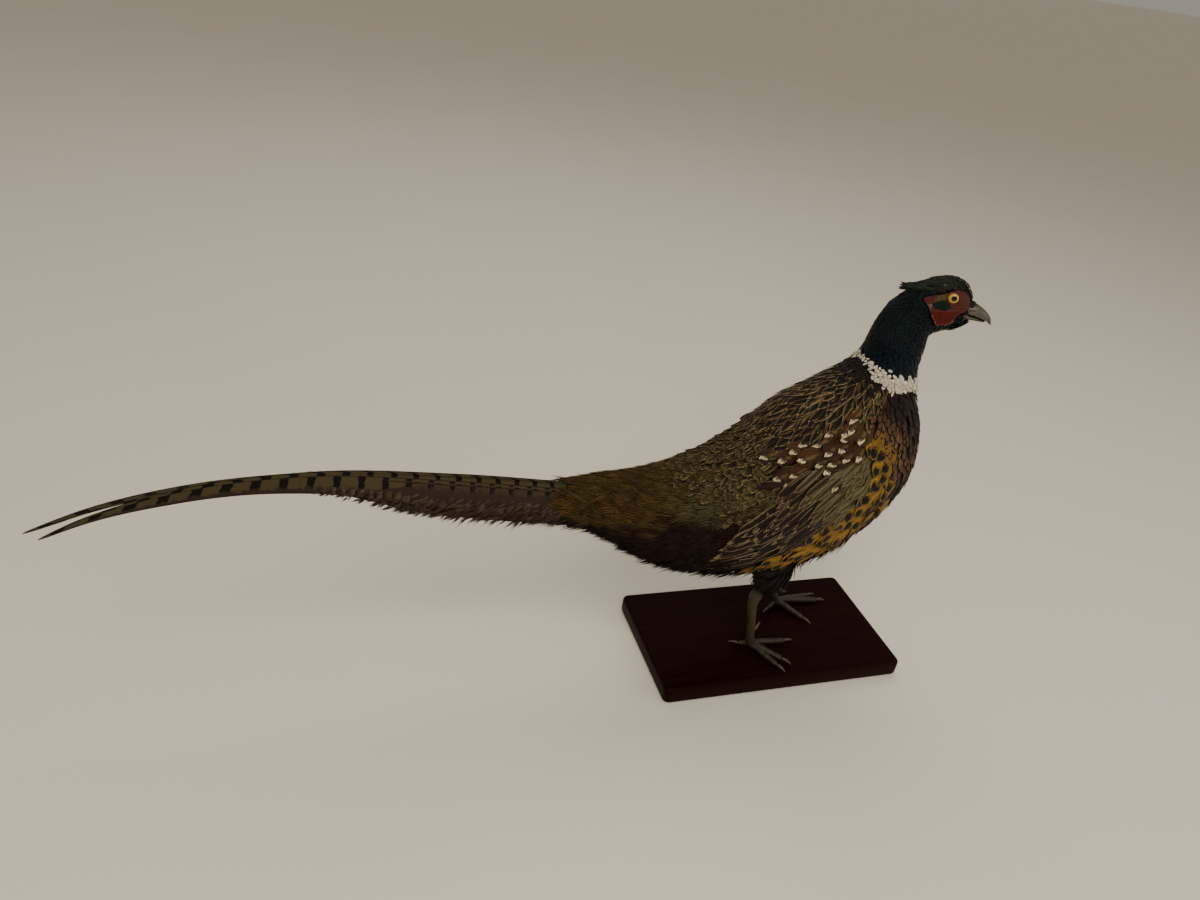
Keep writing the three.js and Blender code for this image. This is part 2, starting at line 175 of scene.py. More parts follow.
def coatSurface():
    bm = bmesh.new()
    for name in coat["flesh"]:
        bm.from_mesh(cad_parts[name].data)
    bmesh.ops.remove_doubles(bm, verts=bm.verts, dist=0.01 * mm)
    form = addObject("coatForm", meshOf(bm, "coatForm"))
    remesh = form.modifiers.new("voxels", "REMESH")
    remesh.mode = "VOXEL"
    remesh.voxel_size = coat["voxel"]
    depsgraph = bpy.context.evaluated_depsgraph_get()
    bm = bmesh.new()
    bm.from_mesh(form.evaluated_get(depsgraph).to_mesh())
    bpy.data.objects.remove(form)
    largestIsland(bm)
    for _ in range(coat["smoothing"]):
        soften(bm)
    bmesh.ops.recalc_face_normals(bm, faces=bm.faces)
    bm.normal_update()
    bm.verts.index_update()
    return bm


outer = coatSurface()
outerTree = BVHTree.FromBMesh(outer)
print("coat surface:", len(outer.faces), "faces")

# A map of the body: t runs from the rump to the nape, turn runs round it.
bodyAxis = {
    "at": (0.00, 0.08, 0.20, 0.34, 0.43, 0.56, 0.68, 0.78, 0.87, 0.93, 0.97, 1.00),
    "x": (-242, -212, -160, -100, -58, 0, 42, 54, 56.5, 57, 60, 62.5),
    "z": (201, 199, 189, 184, 190, 213, 252, 292, 328, 351, 372, 391),
    "lean": (-8, -8, -6, 5, 18, 38, 58, 68, 70, 76, 76, 76),
    "turn": (0, 0, 0, 0, 0, 0, 0, 0, -4, -14, -26, -36),
    "rows": 140,
    "columns": 96,
}


class BodyMap:
    def __init__(self):
        rows, columns = bodyAxis["rows"], bodyAxis["columns"]
        axis = curves(bodyAxis, "x", "z", "lean", "turn")
        self.t = np.linspace(0.004, 0.985, rows)
        self.turn = np.arange(columns) / columns * tau
        self.phi = np.degrees(np.minimum(self.turn, tau - self.turn))
        self.points = np.zeros((rows, columns, 3))
        for i, t in enumerate(self.t):
            x, z, lean, turn = (line(t) for line in axis)
            lean, turn = radians(lean), radians(turn)
            centre = Vector((x, 0, z)) * mm
            back = Vector((-sin(lean) * cos(turn), -sin(lean) * sin(turn), cos(lean)))
            side = Vector((-sin(turn), cos(turn), 0))
            for j, angle in enumerate(self.turn):
                ray = back * cos(angle) + side * sin(angle)
                hit = outerTree.ray_cast(centre, ray)[0]
                self.points[i, j] = hit if hit else centre
        # the coat lies towards the rump
        lie = np.zeros_like(self.points)
        lie[1:] = self.points[:-1] - self.points[1:]
        lie[0] = lie[1]
        size = np.maximum(np.linalg.norm(lie, axis=2), 1e-9)
        self.lie = lie / size[:, :, None]
        self.stride = np.maximum(size, 0.6 * mm) * (rows - 1) / (self.t[-1] - self.t[0])
        self.tree = treeOf(self.points.reshape(-1, 3))

    def near(self, points):  # the row and column of the map nearest each point
        found = np.array([self.tree.find(point)[1] for point in points])
        return np.divmod(found, len(self.turn))

    def bakeAt(self, i, j):  # where the skin's unwrap has these rows and columns
        return np.stack((self.turn[j] / tau, self.t[i]), axis=1)


body = BodyMap()
print("body map ready")

# The head has a frame of its own, in millimetres.
headFrame = {"turn": -38, "pivot": (70.1, 0, 375.7)}
headMatrix = Matrix.Translation(Vector(headFrame["pivot"]) * mm) @ Matrix.Rotation(
    radians(headFrame["turn"]), 4, "Z")
headTurn = np.array(headMatrix.to_3x3())
headPivot = np.array(headMatrix.translation)


def onHead(x, y, z):
    return headMatrix @ (Vector((x, y, z)) * mm)


def headWay(x, y, z):
    return headMatrix.to_3x3() @ Vector((x, y, z))


def headLocal(points):
    return (np.asarray(points) - headPivot) @ headTurn / mm


def headBake(local):  # where the unwrap has places on the head
    return np.stack((np.arctan2(local[:, 1], local[:, 2] - 22) / tau + 0.5,
                     (local[:, 0] + 35) / 90), axis=1)


class Value:  # a number or colour from a shader's node; it takes plain arithmetic
    def __init__(self, shader, socket):
        self.shader, self.socket = shader, socket

    def __add__(self, other):
        return self.shader.maths("ADD", self, other)

    def __mul__(self, other):
        return self.shader.maths("MULTIPLY", self, other)

    def __truediv__(self, other):
        return self.shader.maths("DIVIDE", self, other)

    def __pow__(self, other):
        return self.shader.maths("POWER", self, other)

    def __sub__(self, other):
        return self.shader.maths("SUBTRACT", self, other)

    def __rsub__(self, other):
        return self.shader.maths("SUBTRACT", other, self)

    def __abs__(self):
        return self.shader.maths("ABSOLUTE", self)


class Shader:
    def __init__(self, tree):
        self.tree = tree
        self.spot = self.out(self.node("TexCoord"), "Object")

    def join(self, value, socket):
        if isinstance(value, Value):
            self.tree.links.new(value.socket, socket)
        else:
            socket.default_value = linear(value) if isinstance(value, str) else value

    def node(self, kind, settings=None, **links):
        made = self.tree.nodes.new("ShaderNode" + kind)
        for key, value in (settings or {}).items():
            setattr(made, key, value)
        for key, value in links.items():
            self.join(value, made.inputs[key])
        return made

    def out(self, made, key=0):
        return Value(self, made.outputs[key])

    def maths(self, operation, *values):
        made = self.node("Math", {"operation": operation})
        for socket, value in zip(made.inputs, values):
            self.join(value, socket)
        return self.out(made)

    def step(self, value, low, high):  # 0 below low, 1 above high, smooth between
        made = self.node("MapRange", {"interpolation_type": "SMOOTHSTEP"}, Value=value)
        self.join(low, made.inputs["From Min"])
        self.join(high, made.inputs["From Max"])
        return self.out(made, "Result")

    def fall(self, value, low, high):  # 1 below low, 0 above high
        return 1.0 - self.step(value, low, high)

    def blend(self, share, first, second, way="MIX"):
        made = self.node("Mix", {"data_type": "RGBA", "blend_type": way})
        for index, value in ((0, share), (6, first), (7, second)):
            self.join(value, made.inputs[index])
        return self.out(made, 2)

    def over(self, colour, *coats):  # colours laid over one another, each by its own share
        for share, code in coats:
            colour = self.blend(share, colour, code)
        return colour

    def dimmed(self, colour, light):
        grey = self.node("CombineXYZ", None, X=light, Y=light, Z=light)
        return self.blend(1.0, colour, self.out(grey), "MULTIPLY")

    def noise(self, scale, detail=3.0, rough=0.5, vector=None):
        made = self.node("TexNoise", None, Vector=vector or self.spot, Scale=scale,
                         Detail=detail, Roughness=rough)
        return self.out(made, "Fac")

    def stretched(self, *scale):
        return self.out(self.node("Mapping", None, Vector=self.spot, Scale=scale))

    def attribute(self, name, output="Fac"):
        return self.out(self.node("Attribute", {"attribute_name": name}), output)

    def layer(self, name):
        return self.parts(self.out(self.node("UVMap", {"uv_map": name})))

    def parts(self, vector):
        made = self.node("SeparateXYZ", None, Vector=vector)
        return [self.out(made, key) for key in range(3)]

    def use(self, group, **settings):
        made = self.node("Group", {"node_tree": group.tree})
        for label, value in settings.items():
            made.inputs[label].default_value = value
        return {socket.name: Value(self, socket) for socket in made.outputs}


class Group(Shader):
    def __init__(self, name, inputs, outputs):
        tree = bpy.data.node_groups.new(name, "ShaderNodeTree")
        number = "NodeSocketFloat"
        for label, start in inputs.items():
            socket = tree.interface.new_socket(name=label, in_out="INPUT", socket_type=number)
            socket.default_value = start
        for label in outputs:
            tree.interface.new_socket(name=label, in_out="OUTPUT", socket_type=number)
        super().__init__(tree)
        taken = tree.nodes.new("NodeGroupInput")
        self.given = {label: Value(self, taken.outputs[label]) for label in inputs}
        self.result = tree.nodes.new("NodeGroupOutput")

    def give(self, label, value):
        self.join(value, self.result.inputs[label])


class Surface(Shader):
    labels = {
        "specular": "Specular IOR Level", "sheen": "Sheen Weight", "metallic": "Metallic",
        "coat": "Coat Weight", "coatRough": "Coat Roughness",
        "under": "Subsurface Weight", "underRadius": "Subsurface Radius",
    }

    def __init__(self, name):
        self.material = bpy.data.materials.new(name)
        self.material.use_nodes = True
        super().__init__(self.material.node_tree)

    # relief is a height, its strength and its depth in millimetres
    def finish(self, colour, rough, relief=None, **settings):
        skin = self.tree.nodes["Principled BSDF"].inputs
        self.join(colour, skin["Base Color"])
        self.join(rough, skin["Roughness"])
        if relief:
            height, strength, depth = relief
            bump = self.node("Bump", None, Height=height, Strength=strength, Distance=depth * mm)
            self.join(self.out(bump), skin["Normal"])
        for key, value in settings.items():
            skin[self.labels[key]].default_value = value
        return self.material


# Where a point lies on its feather, as masks for the markings every tract shares.
def vaneMarks():
    group = Group("vaneMarks", {
        "Streak Width": 0.3, "Streak End": 0.9, "Rim Width": 0.12, "Line Place": 0.7,
        "Line Width": 0.07, "Spot Place": 0.85, "Spot Long": 0.1, "Spot Wide": 0.4,
        "Spot Hollow": 0.0, "Ragged": 0.08, "Barbs": 40.0,
    }, ("Streak", "Rim", "Line", "Spot", "Ring", "Barbs", "Shaft"))
    given, step, fall = group.given, group.step, group.fall
    u, v, _ = group.layer("vane")
    stray = (group.noise(900.0, 2.0) - 0.5) * given["Ragged"]
    signed = u * 2.0 - 1.0
    across = abs(signed)
    wide, along = across + stray, v + stray
    # 1 all round the outline, tip included
    edge = group.maths("SMOOTH_MAX", wide, along * 3.4 - 2.4, 0.2)
    narrow = given["Streak Width"] * (along * -0.7 + 1.35)
    end = given["Streak End"]
    group.give("Streak", fall(wide, narrow, narrow + 0.12) * fall(along, end - 0.06, end))
    inner = 1.0 - given["Rim Width"]
    group.give("Rim", step(edge, inner - 0.07, inner))
    lineWidth = given["Line Width"]
    group.give("Line", fall(abs(edge - given["Line Place"]), lineWidth * 0.5, lineWidth))
    centre = given["Spot Place"]
    slant = signed + stray + (along - centre) * 1.8 * given["Spot Hollow"]

    def offCentre(across, middle):  # how far from the middle of an oval
        high = (along - middle) / given["Spot Long"]
        return ((across / given["Spot Wide"]) ** 2.0 + high ** 2.0) ** 0.5
    off = offCentre(slant, centre)
    hollow = fall(offCentre(slant * 1.2 + 0.16, given["Spot Long"] * -0.62 + centre), 0.6, 0.85)
    spot = (1.0 - hollow * given["Spot Hollow"]) * fall(off, 0.8, 1.05)
    group.give("Spot", spot)
    group.give("Ring", fall(off, 1.2, 1.7) - spot)
    wave = group.maths("SINE", (across * -0.35 + v) * given["Barbs"] * tau)
    group.give("Barbs", wave * 0.5 + 0.5)
    group.give("Shaft", fall(across, 0.03, 0.07))
    return group


vaneGroup = vaneMarks()


# One feather finish: the ground colour rides on each feather, and marks are laid over it.
def featherMaterial(name, look):
    skin = Surface(name)
    marks = skin.use(vaneGroup, **look["masks"])
    colour = skin.attribute("ground", "Color")
    grain = skin.noise(700.0, 4.0, 0.6)
    coats = [(marks[mask] * share, code) for mask, code, share in look.get("marks", ())]

    def swing(value, spread):  # a factor that strays by this much round 1
        return value * spread + (1 - spread / 2)
    light = swing(grain, look.get("grain", 0.5)) * swing(marks["Barbs"], 0.16)
    light = light * swing(skin.attribute("tone"), look.get("toneSpread", 0.3))
    height = marks["Barbs"] * 0.5 + (grain + marks["Shaft"] * 1.5)
    colour = skin.dimmed(skin.over(colour, *coats), light)
    return skin.finish(colour, grain * 0.2 + look.get("roughness", 0.6),
                       (height, 0.6, 0.12), specular=look.get("specular", 0.2), sheen=0.02,
                       metallic=look.get("metallic", 0.0))


class Shape:  # a feather in its own measure: s along it, w across it and h through it
    def __init__(self, bm, uv):
        bm.verts.index_update()
        place = np.array([v.co for v in bm.verts])
        self.s, self.w, self.h = place[:, 0], place[:, 1], place[:, 2]
        self.faces = np.array([[v.index for v in face.verts] for face in bm.faces])
        self.uv = uv
        bm.free()

    def mirrored(self):
        other = copy(self)
        other.w = -self.w
        other.faces = self.faces[:, ::-1]
        return other


def lensFrom(bm, top, bottom):  # a second sheet under the first, joined to it all round
    below = bmesh.ops.duplicate(bm, geom=bm.verts[:] + bm.edges[:] + bm.faces[:])["geom"]
    faces = [g for g in below if isinstance(g, bmesh.types.BMFace)]
    lower = {g for g in below if isinstance(g, bmesh.types.BMVert)}
    bmesh.ops.reverse_faces(bm, faces=faces)
    for vert in bm.verts:
        inside = (1 - vert.co.y ** 2) * sin(pi * min(vert.co.x, 1)) ** 0.5
        vert.co.z = (bottom if vert in lower else top) * max(inside, 0)
    bmesh.ops.remove_doubles(bm, verts=bm.verts, dist=1e-4)


def vaneShape(along, across, outline, tipRound=0.06):
    bm = bmesh.new()
    bmesh.ops.create_grid(bm, x_segments=along, y_segments=across, size=0.5)
    for vert in bm.verts:
        vert.co.x = sin((vert.co.x + 0.5) * pi / 2)
        vert.co.y *= 2
    lensFrom(bm, 0.5, -0.5)
    bm.verts.index_update()
    uv = np.array([(vert.co.y / 2 + 0.5, vert.co.x) for vert in bm.verts])
    for vert in bm.verts:
        s = vert.co.x
        vert.co.x = s - tipRound * s ** 6 * vert.co.y ** 2
        vert.co.y *= float(outline(s))
    return Shape(bm, uv)


def tuftShape(strands, along, rng, spreadOut=1.0):
    whole = bmesh.new()
    uv = []
    for strand in range(strands):
        bm = bmesh.new()
        bmesh.ops.create_grid(bm, x_segments=along, y_segments=2, size=0.5)
        for vert in bm.verts:
            vert.co.x += 0.5
            vert.co.y *= 2
        lensFrom(bm, 0.6, -0.4)
        middle = (strand + 0.5) / strands * 2 - 1
        reach = 1 - 0.22 * abs(middle) - rng.uniform(0, 0.2)
        sway = rng.uniform(-0.18, 0.18)
        for vert in bm.verts:
            s, w = vert.co.x, vert.co.y
            uv.append((middle / 2 + 0.5 + w * 0.4 / strands, s))
            slim = (1.25 - s) * (1 - s ** 4) / strands
            vert.co.x = s * reach
            vert.co.y = middle * (0.3 + 0.7 * s ** 0.8 * spreadOut) + sway * s ** 2 + w * slim * 1.2
            vert.co.z += (strand % 2) * 0.8 * s
        mesh = meshOf(bm, "strand")
        whole.from_mesh(mesh)
        bpy.data.meshes.remove(mesh)
    return Shape(whole, np.array(uv))


outlines = {
    "round": curve({"at": (0, 0.12, 0.35, 0.6, 0.78, 0.9, 0.97, 1),
                    "half": (0.12, 0.5, 0.88, 1, 0.93, 0.7, 0.42, 0.16)}, "half"),
    "pointed": curve({"at": (0, 0.12, 0.35, 0.6, 0.8, 0.93, 1),
                      "half": (0.12, 0.55, 0.95, 0.95, 0.6, 0.26, 0.05)}, "half"),
    "long": curve({"at": (0, 0.08, 0.3, 0.7, 0.88, 0.96, 1),
                   "half": (0.15, 0.6, 1, 1, 0.78, 0.45, 0.14)}, "half"),
}
shapeRng = np.random.default_rng(7)
shapes = {
    "small": [vaneShape(4, 4, outlines["round"])],
    "round": [vaneShape(6, 4, outlines["round"])],
    "broad": [vaneShape(7, 6, outlines["round"], 0.03)],
    "pointed": [vaneShape(6, 4, outlines["pointed"])],
    "long": [vaneShape(9, 6, outlines["long"])],
    "hair": [tuftShape(5, 4, shapeRng) for _ in range(4)],
    "shag": [tuftShape(6, 4, shapeRng, 1.3) for _ in range(4)],
}

rumpEnd = -238 * mm
bakePatch = 0.003  # each feather's share of the skin's unwrap, where its colours are baked


# Each feather's middle line, laid along the coat from its root to its tip.
def layLines(roots, lies, lengths, joints):
    points = np.zeros((len(roots), joints + 1, 3))
    ups = np.zeros_like(points)
    ways = np.zeros_like(points)
    for f in range(len(roots)):
        hit, up, _, _ = outerTree.find_nearest(Vector(roots[f]))
        way = Vector(lies[f])
        step = lengths[f] / joints
        for k in range(joints + 1):
            way = (way - up * way.dot(up)).normalized()
            points[f, k], ups[f, k], ways[f, k] = hit, up, way
            ahead = hit + way * step
            if ahead.x < rumpEnd:  # past the rump's end a feather runs on straight
                hit = ahead
            else:
                hit, near, _, _ = outerTree.find_nearest(ahead)
                up = (up + near * 2).normalized()
    return points, ups, ways


class Growth:  # the roots of one tract with what differs from feather to feather
    def __init__(self, roots, lies, length, width, ground, bake, rng, spread):
        count = len(roots)
        self.roots, self.lies, self.ground, self.bake = roots, lies, ground, bake
        self.length = length * (1 + spread["size"] * rng.uniform(-1, 1, count))
        self.width = width * (1 + spread["size"] * rng.uniform(-1, 1, count))
        turn = np.radians(spread["turn"]) * rng.normal(0, 1, count)
        self.turn = np.clip(turn, -0.5, 0.5)
        self.bend = spread.get("bend", 0.06) * rng.normal(0, 1, count)
        self.roll = np.radians(spread.get("roll", 5)) * rng.normal(0, 1, count)
        self.rise = spread.get("rise", 0.25) * mm * rng.uniform(-1, 1, count)
        self.tone = rng.uniform(0, 1, count)
        self.pick = rng.integers(0, 1000, count)


def grow(name, growth, kinds, lay, material, slotName, joints=6, lines=None):
    count = len(growth.roots)
    points, ups, ways = lines or layLines(growth.roots, growth.lies, growth.length, joints)
    sides = np.cross(ups, ways)
    whole = {key: [] for key in ("verts", "faces", "vane", "OFBake", "tone", "ground")}
    start = 0
    for number, shape in enumerate(kinds):
        chosen = np.nonzero(growth.pick % len(kinds) == number)[0]
        if not len(chosen):
            continue
        s = np.clip(shape.s, 0, 1)
        i = np.minimum((s * joints).astype(int), joints - 1)
        f = (s * joints - i)[None, :, None]
        at, up, side = (field[chosen][:, i] * (1 - f) + field[chosen][:, i + 1] * f
                        for field in (points, ups, sides))
        length, width, turn, bend, roll, rise = (
            field[chosen][:, None] for field in (growth.length, growth.width, growth.turn,
                                                 growth.bend, growth.roll, growth.rise))
        across = shape.w * width / 2
        swing = (np.tan(turn) * s + bend * s ** 2) * length
        height = (lay["root"] + (lay["tip"] - lay["root"]) * s ** 0.8 + lay.get("lift", 0) * s ** 3
                  + shape.h * lay["thick"]) * mm
        height = height + rise + across * np.tan(roll) - lay.get("dome", 22) * across ** 2
        verts = at + side * (swing + across)[..., None] + up * height[..., None]
        whole["verts"].append(verts.reshape(-1, 3))
        offsets = start + np.arange(len(chosen)) * len(s)
        whole["faces"].append((shape.faces[None] + offsets[:, None, None]).reshape(-1, 4))
        start += len(chosen) * len(s)
        whole["vane"].append(np.tile(shape.uv, (len(chosen), 1)))
        patch = growth.bake[chosen][:, None, :] + (shape.uv - 0.5)[None] * bakePatch
        whole["OFBake"].append(patch.reshape(-1, 2))
        whole["tone"].append(np.repeat(growth.tone[chosen], len(s)))
        whole["ground"].append(np.repeat(growth.ground[chosen], len(s), axis=0))
    whole = {key: np.concatenate(values) for key, values in whole.items()}
    mesh = bpy.data.meshes.new(name)
    faces = whole["faces"]
    mesh.from_pydata(whole["verts"].tolist(), [], faces.tolist())
    for label in ("vane", "OFBake"):
        layer = mesh.uv_layers.new(name=label)
        layer.data.foreach_set("uv", whole[label][faces.reshape(-1)].reshape(-1))
    mesh.attributes.new("tone", "FLOAT", "POINT").data.foreach_set("value", whole["tone"])
    addColours(mesh, whole["ground"])
    mesh.polygons.foreach_set("use_smooth", np.ones(len(faces), bool))
    print(name, ":", count, "feathers,", len(faces), "faces")
    return place(name, mesh, material, slotName)


def addColours(mesh, colours):
    layer = mesh.attributes.new("ground", "FLOAT_COLOR", "POINT")
    colours = np.hstack((colours, np.ones((len(colours), 1))))
    layer.data.foreach_set("color", colours.reshape(-1))


# The pool of places where a feather may root, and how many of them one tract tries.
pool = {"count": 330000, "seed": 11, "most": 60000}


class Pool:
    def __init__(self):
        rng = np.random.default_rng(pool["seed"])
        verts = np.array([v.co for v in outer.verts])
        corners = np.array([[loop.vert.index for loop in tri]
                            for tri in outer.calc_loop_triangles()])
        a, b, c = verts[corners[:, 0]], verts[corners[:, 1]], verts[corners[:, 2]]
        area = np.linalg.norm(np.cross(b - a, c - a), axis=1)
        pick = rng.choice(len(corners), pool["count"], p=area / area.sum())
        u, v = rng.random((2, pool["count"], 1))
        over = u + v > 1
        u, v = np.where(over, 1 - u, u), np.where(over, 1 - v, v)
        self.points = a[pick] + u * (b - a)[pick] + v * (c - a)[pick]
        self.stray = rng.normal(0, 1, pool["count"])
        i, j = body.near(self.points)
        self.t, self.phi = body.t[i], body.phi[j]
        self.lie, self.stride = body.lie[i, j], body.stride[i, j]
        self.x, self.y, self.z = (self.points / mm).T
        self.head = headLocal(self.points)
        self.bake = body.bakeAt(i, j)


ground = Pool()
print("pool of", pool["count"], "places")


# Thins the chosen places until none is nearer another than the spacing.
def spread(rng, chosen, spacing, most=pool["most"]):
    order = rng.permutation(chosen)[:most]
    gap = spacing * mm
    cells = np.floor(ground.points[order] / gap).astype(int).tolist()
    places = ground.points[order].tolist()
    taken = {}
    kept = []
    around = [(i, j, k) for i in (-1, 0, 1) for j in (-1, 0, 1) for k in (-1, 0, 1)]
    for number, ((i, j, k), (x, y, z)) in enumerate(zip(cells, places)):
        if not any((px - x) ** 2 + (py - y) ** 2 + (pz - z) ** 2 < gap * gap
                   for di, dj, dk in around
                   for px, py, pz in taken.get((i + di, j + dj, k + dk), ())):
            taken.setdefault((i, j, k), []).append((x, y, z))
            kept.append(order[number])
    return np.array(kept)


# Where the plumage changes: t or turn (degrees from the back) against the other.
borders = {
    "collarLow": {"at": (0, 20, 41, 56, 75, 94, 113, 180),
                  "t": (0.873, 0.873, 0.861, 0.855, 0.855, 0.868, 0.874, 0.877)},
    "collarTop": {"at": (0, 38, 56, 79, 98, 180),
                  "t": (0.874, 0.885, 0.880, 0.880, 0.886, 0.886)},
    "napeLow": {"at": (0, 25, 45, 60, 75), "t": (0.822, 0.832, 0.832, 0.838, 0.86)},
    "shoulderTop": {"at": (0.44, 0.463, 0.53, 0.60, 0.68, 0.75, 0.80),
                    "turn": (22, 27, 29, 32, 38, 46, 62)},
    "breastEdge": {"at": (0.68, 0.71, 0.76, 0.83, 0.86), "turn": (66, 63, 54, 60, 64)},
    "shoulderBack": {"at": (0, 8, 30, 56, 80), "t": (0.56, 0.53, 0.463, 0.442, 0.44)},
    "shoulderLow": {"at": (0.42, 0.49, 0.60, 0.67, 0.75), "turn": (57, 55, 61, 68, 68)},
    "wingBack": {"at": (50, 60, 82, 100, 116, 140), "t": (0.45, 0.48, 0.52, 0.56, 0.60, 0.62)},
    "flankTop": {"at": (0.28, 0.36, 0.40, 0.435, 0.47, 0.50, 0.54, 0.58, 0.62, 0.65, 0.675, 0.70,
                        0.715),
                 "turn": (158, 146, 137, 129, 117, 106, 100, 102, 103, 90, 72, 62, 56)},
    "flankLow": {"at": (0.36, 0.40, 0.435, 0.50, 0.58, 0.60, 0.66, 0.69, 0.715),
                 "turn": (158, 164, 162, 154, 141, 136, 117, 101, 84)},
}
edges = {name: curve(rows, "t" if "t" in rows else "turn") for name, rows in borders.items()}
headFrom = 0.952  # the head begins at this t
hem = {"low": 127, "high": 136, "between": 25}  # the hem of the belly, and between the thighs


def plumage(t, phi):  # which tract is seen at each place, from its t and turn
    fuzz = ground.stray * 0.5
    low, top = edges["collarLow"](phi), edges["collarTop"](phi)
    free = ground.t <= headFrom
    neck = free & (t > top + fuzz * 0.006)
    collar = free & (t > low + fuzz * 0.006) & (t < top + fuzz * 0.01)
    trunk = free & (t <= low + fuzz * 0.006)
    inner = (ground.z < hem["high"]) & (np.abs(ground.y) < hem["between"])
    onHem = (ground.z < hem["low"]) | inner
    mantle = trunk & (t > 0.47 + fuzz * 0.012) & (phi < edges["shoulderTop"](t) - 7 + fuzz * 2)
    mantle &= (phi < edges["breastEdge"](t) + fuzz * 3)
    nape = mantle & (t > edges["napeLow"](phi) + fuzz * 0.006)
    mantle &= ~nape
    breast = trunk & ~mantle & ~nape & (t > 0.56)
    breast &= np.where(t > 0.712, phi > edges["breastEdge"](t) - 3, phi > edges["flankLow"](t) - 3)
    flank = trunk & (t > 0.37) & (t < 0.722) & (phi < edges["flankLow"](t) + 4) & ~onHem
    flank &= (phi > edges["flankTop"](t) - 3)
    shoulder = trunk & ~mantle & ~nape & ~breast & (t > edges["shoulderBack"](phi) + fuzz * 0.006)
    shoulder &= (phi < edges["shoulderLow"](t) + fuzz * 2) & (t < 0.75)
    covert = trunk & ~breast & ~shoulder & ~mantle & (phi < edges["flankTop"](t))
    covert &= (t > edges["wingBack"](phi) - 0.01) & (phi > 52)
    belly = trunk & ~breast & ((phi > edges["flankLow"](t)) | onHem) & (t > 0.30)
    quills = trunk & ~covert & ~shoulder & (t > 0.345) & (t < 0.6) & (phi > 72)
    quills &= (phi < edges["flankTop"](t))
    rest = trunk & ~(mantle | nape | breast | flank | shoulder | covert | belly | quills)
    back = rest & (t > 0.26 + 0.035 * fuzz + 0.0022 * np.maximum(phi - 20, 0)) & (phi < 66 + 6 * fuzz)
    vent = rest & ~back & (phi > 118 + fuzz * 6) & (t < 0.40)
    rump = rest & ~back & ~vent
    return {"neck": neck, "collar": collar, "mantle": mantle, "breast": breast, "flank": flank,
            "shoulder": shoulder, "covert": covert, "belly": belly, "back": back, "vent": vent,
            "rump": rump, "quills": quills, "nape": nape}


palette = {
    "ochre": "#5f4d1e", "gold": "#8f6c22", "orange": "#6f3f14", "rufous": "#4a2c10",
    "olive": "#40351a", "goldOlive": "#4d3e14", "greyOlive": "#5d5538", "greyGreen": "#4d4a2b",
    "copper": "#2c1a10", "dust": "#76563a",
    "umber": "#3f2815", "chestnut": "#37200f", "maroon": "#210a04", "darkBrown": "#160a05",
    "black": "#0c0705", "belly": "#100906", "inkBlue": "#11193a", "violet": "#1c1734",
    "deepGreen": "#0f2722", "crown": "#252a1d", "eyebrow": "#6c755c", "white": "#dcd4c0",
    "tan": "#9b835a",
}
tint = {name: paint(code) for name, code in palette.items()}


def mixed(first, second, share):
    share = np.asarray(share, float)[:, None]
    return tint[first] * (1 - share) + tint[second] * share


def toward(colours, name, share):  # colours moved part of the way to a tint
    return colours * (1 - share)[:, None] + tint[name] * share[:, None]


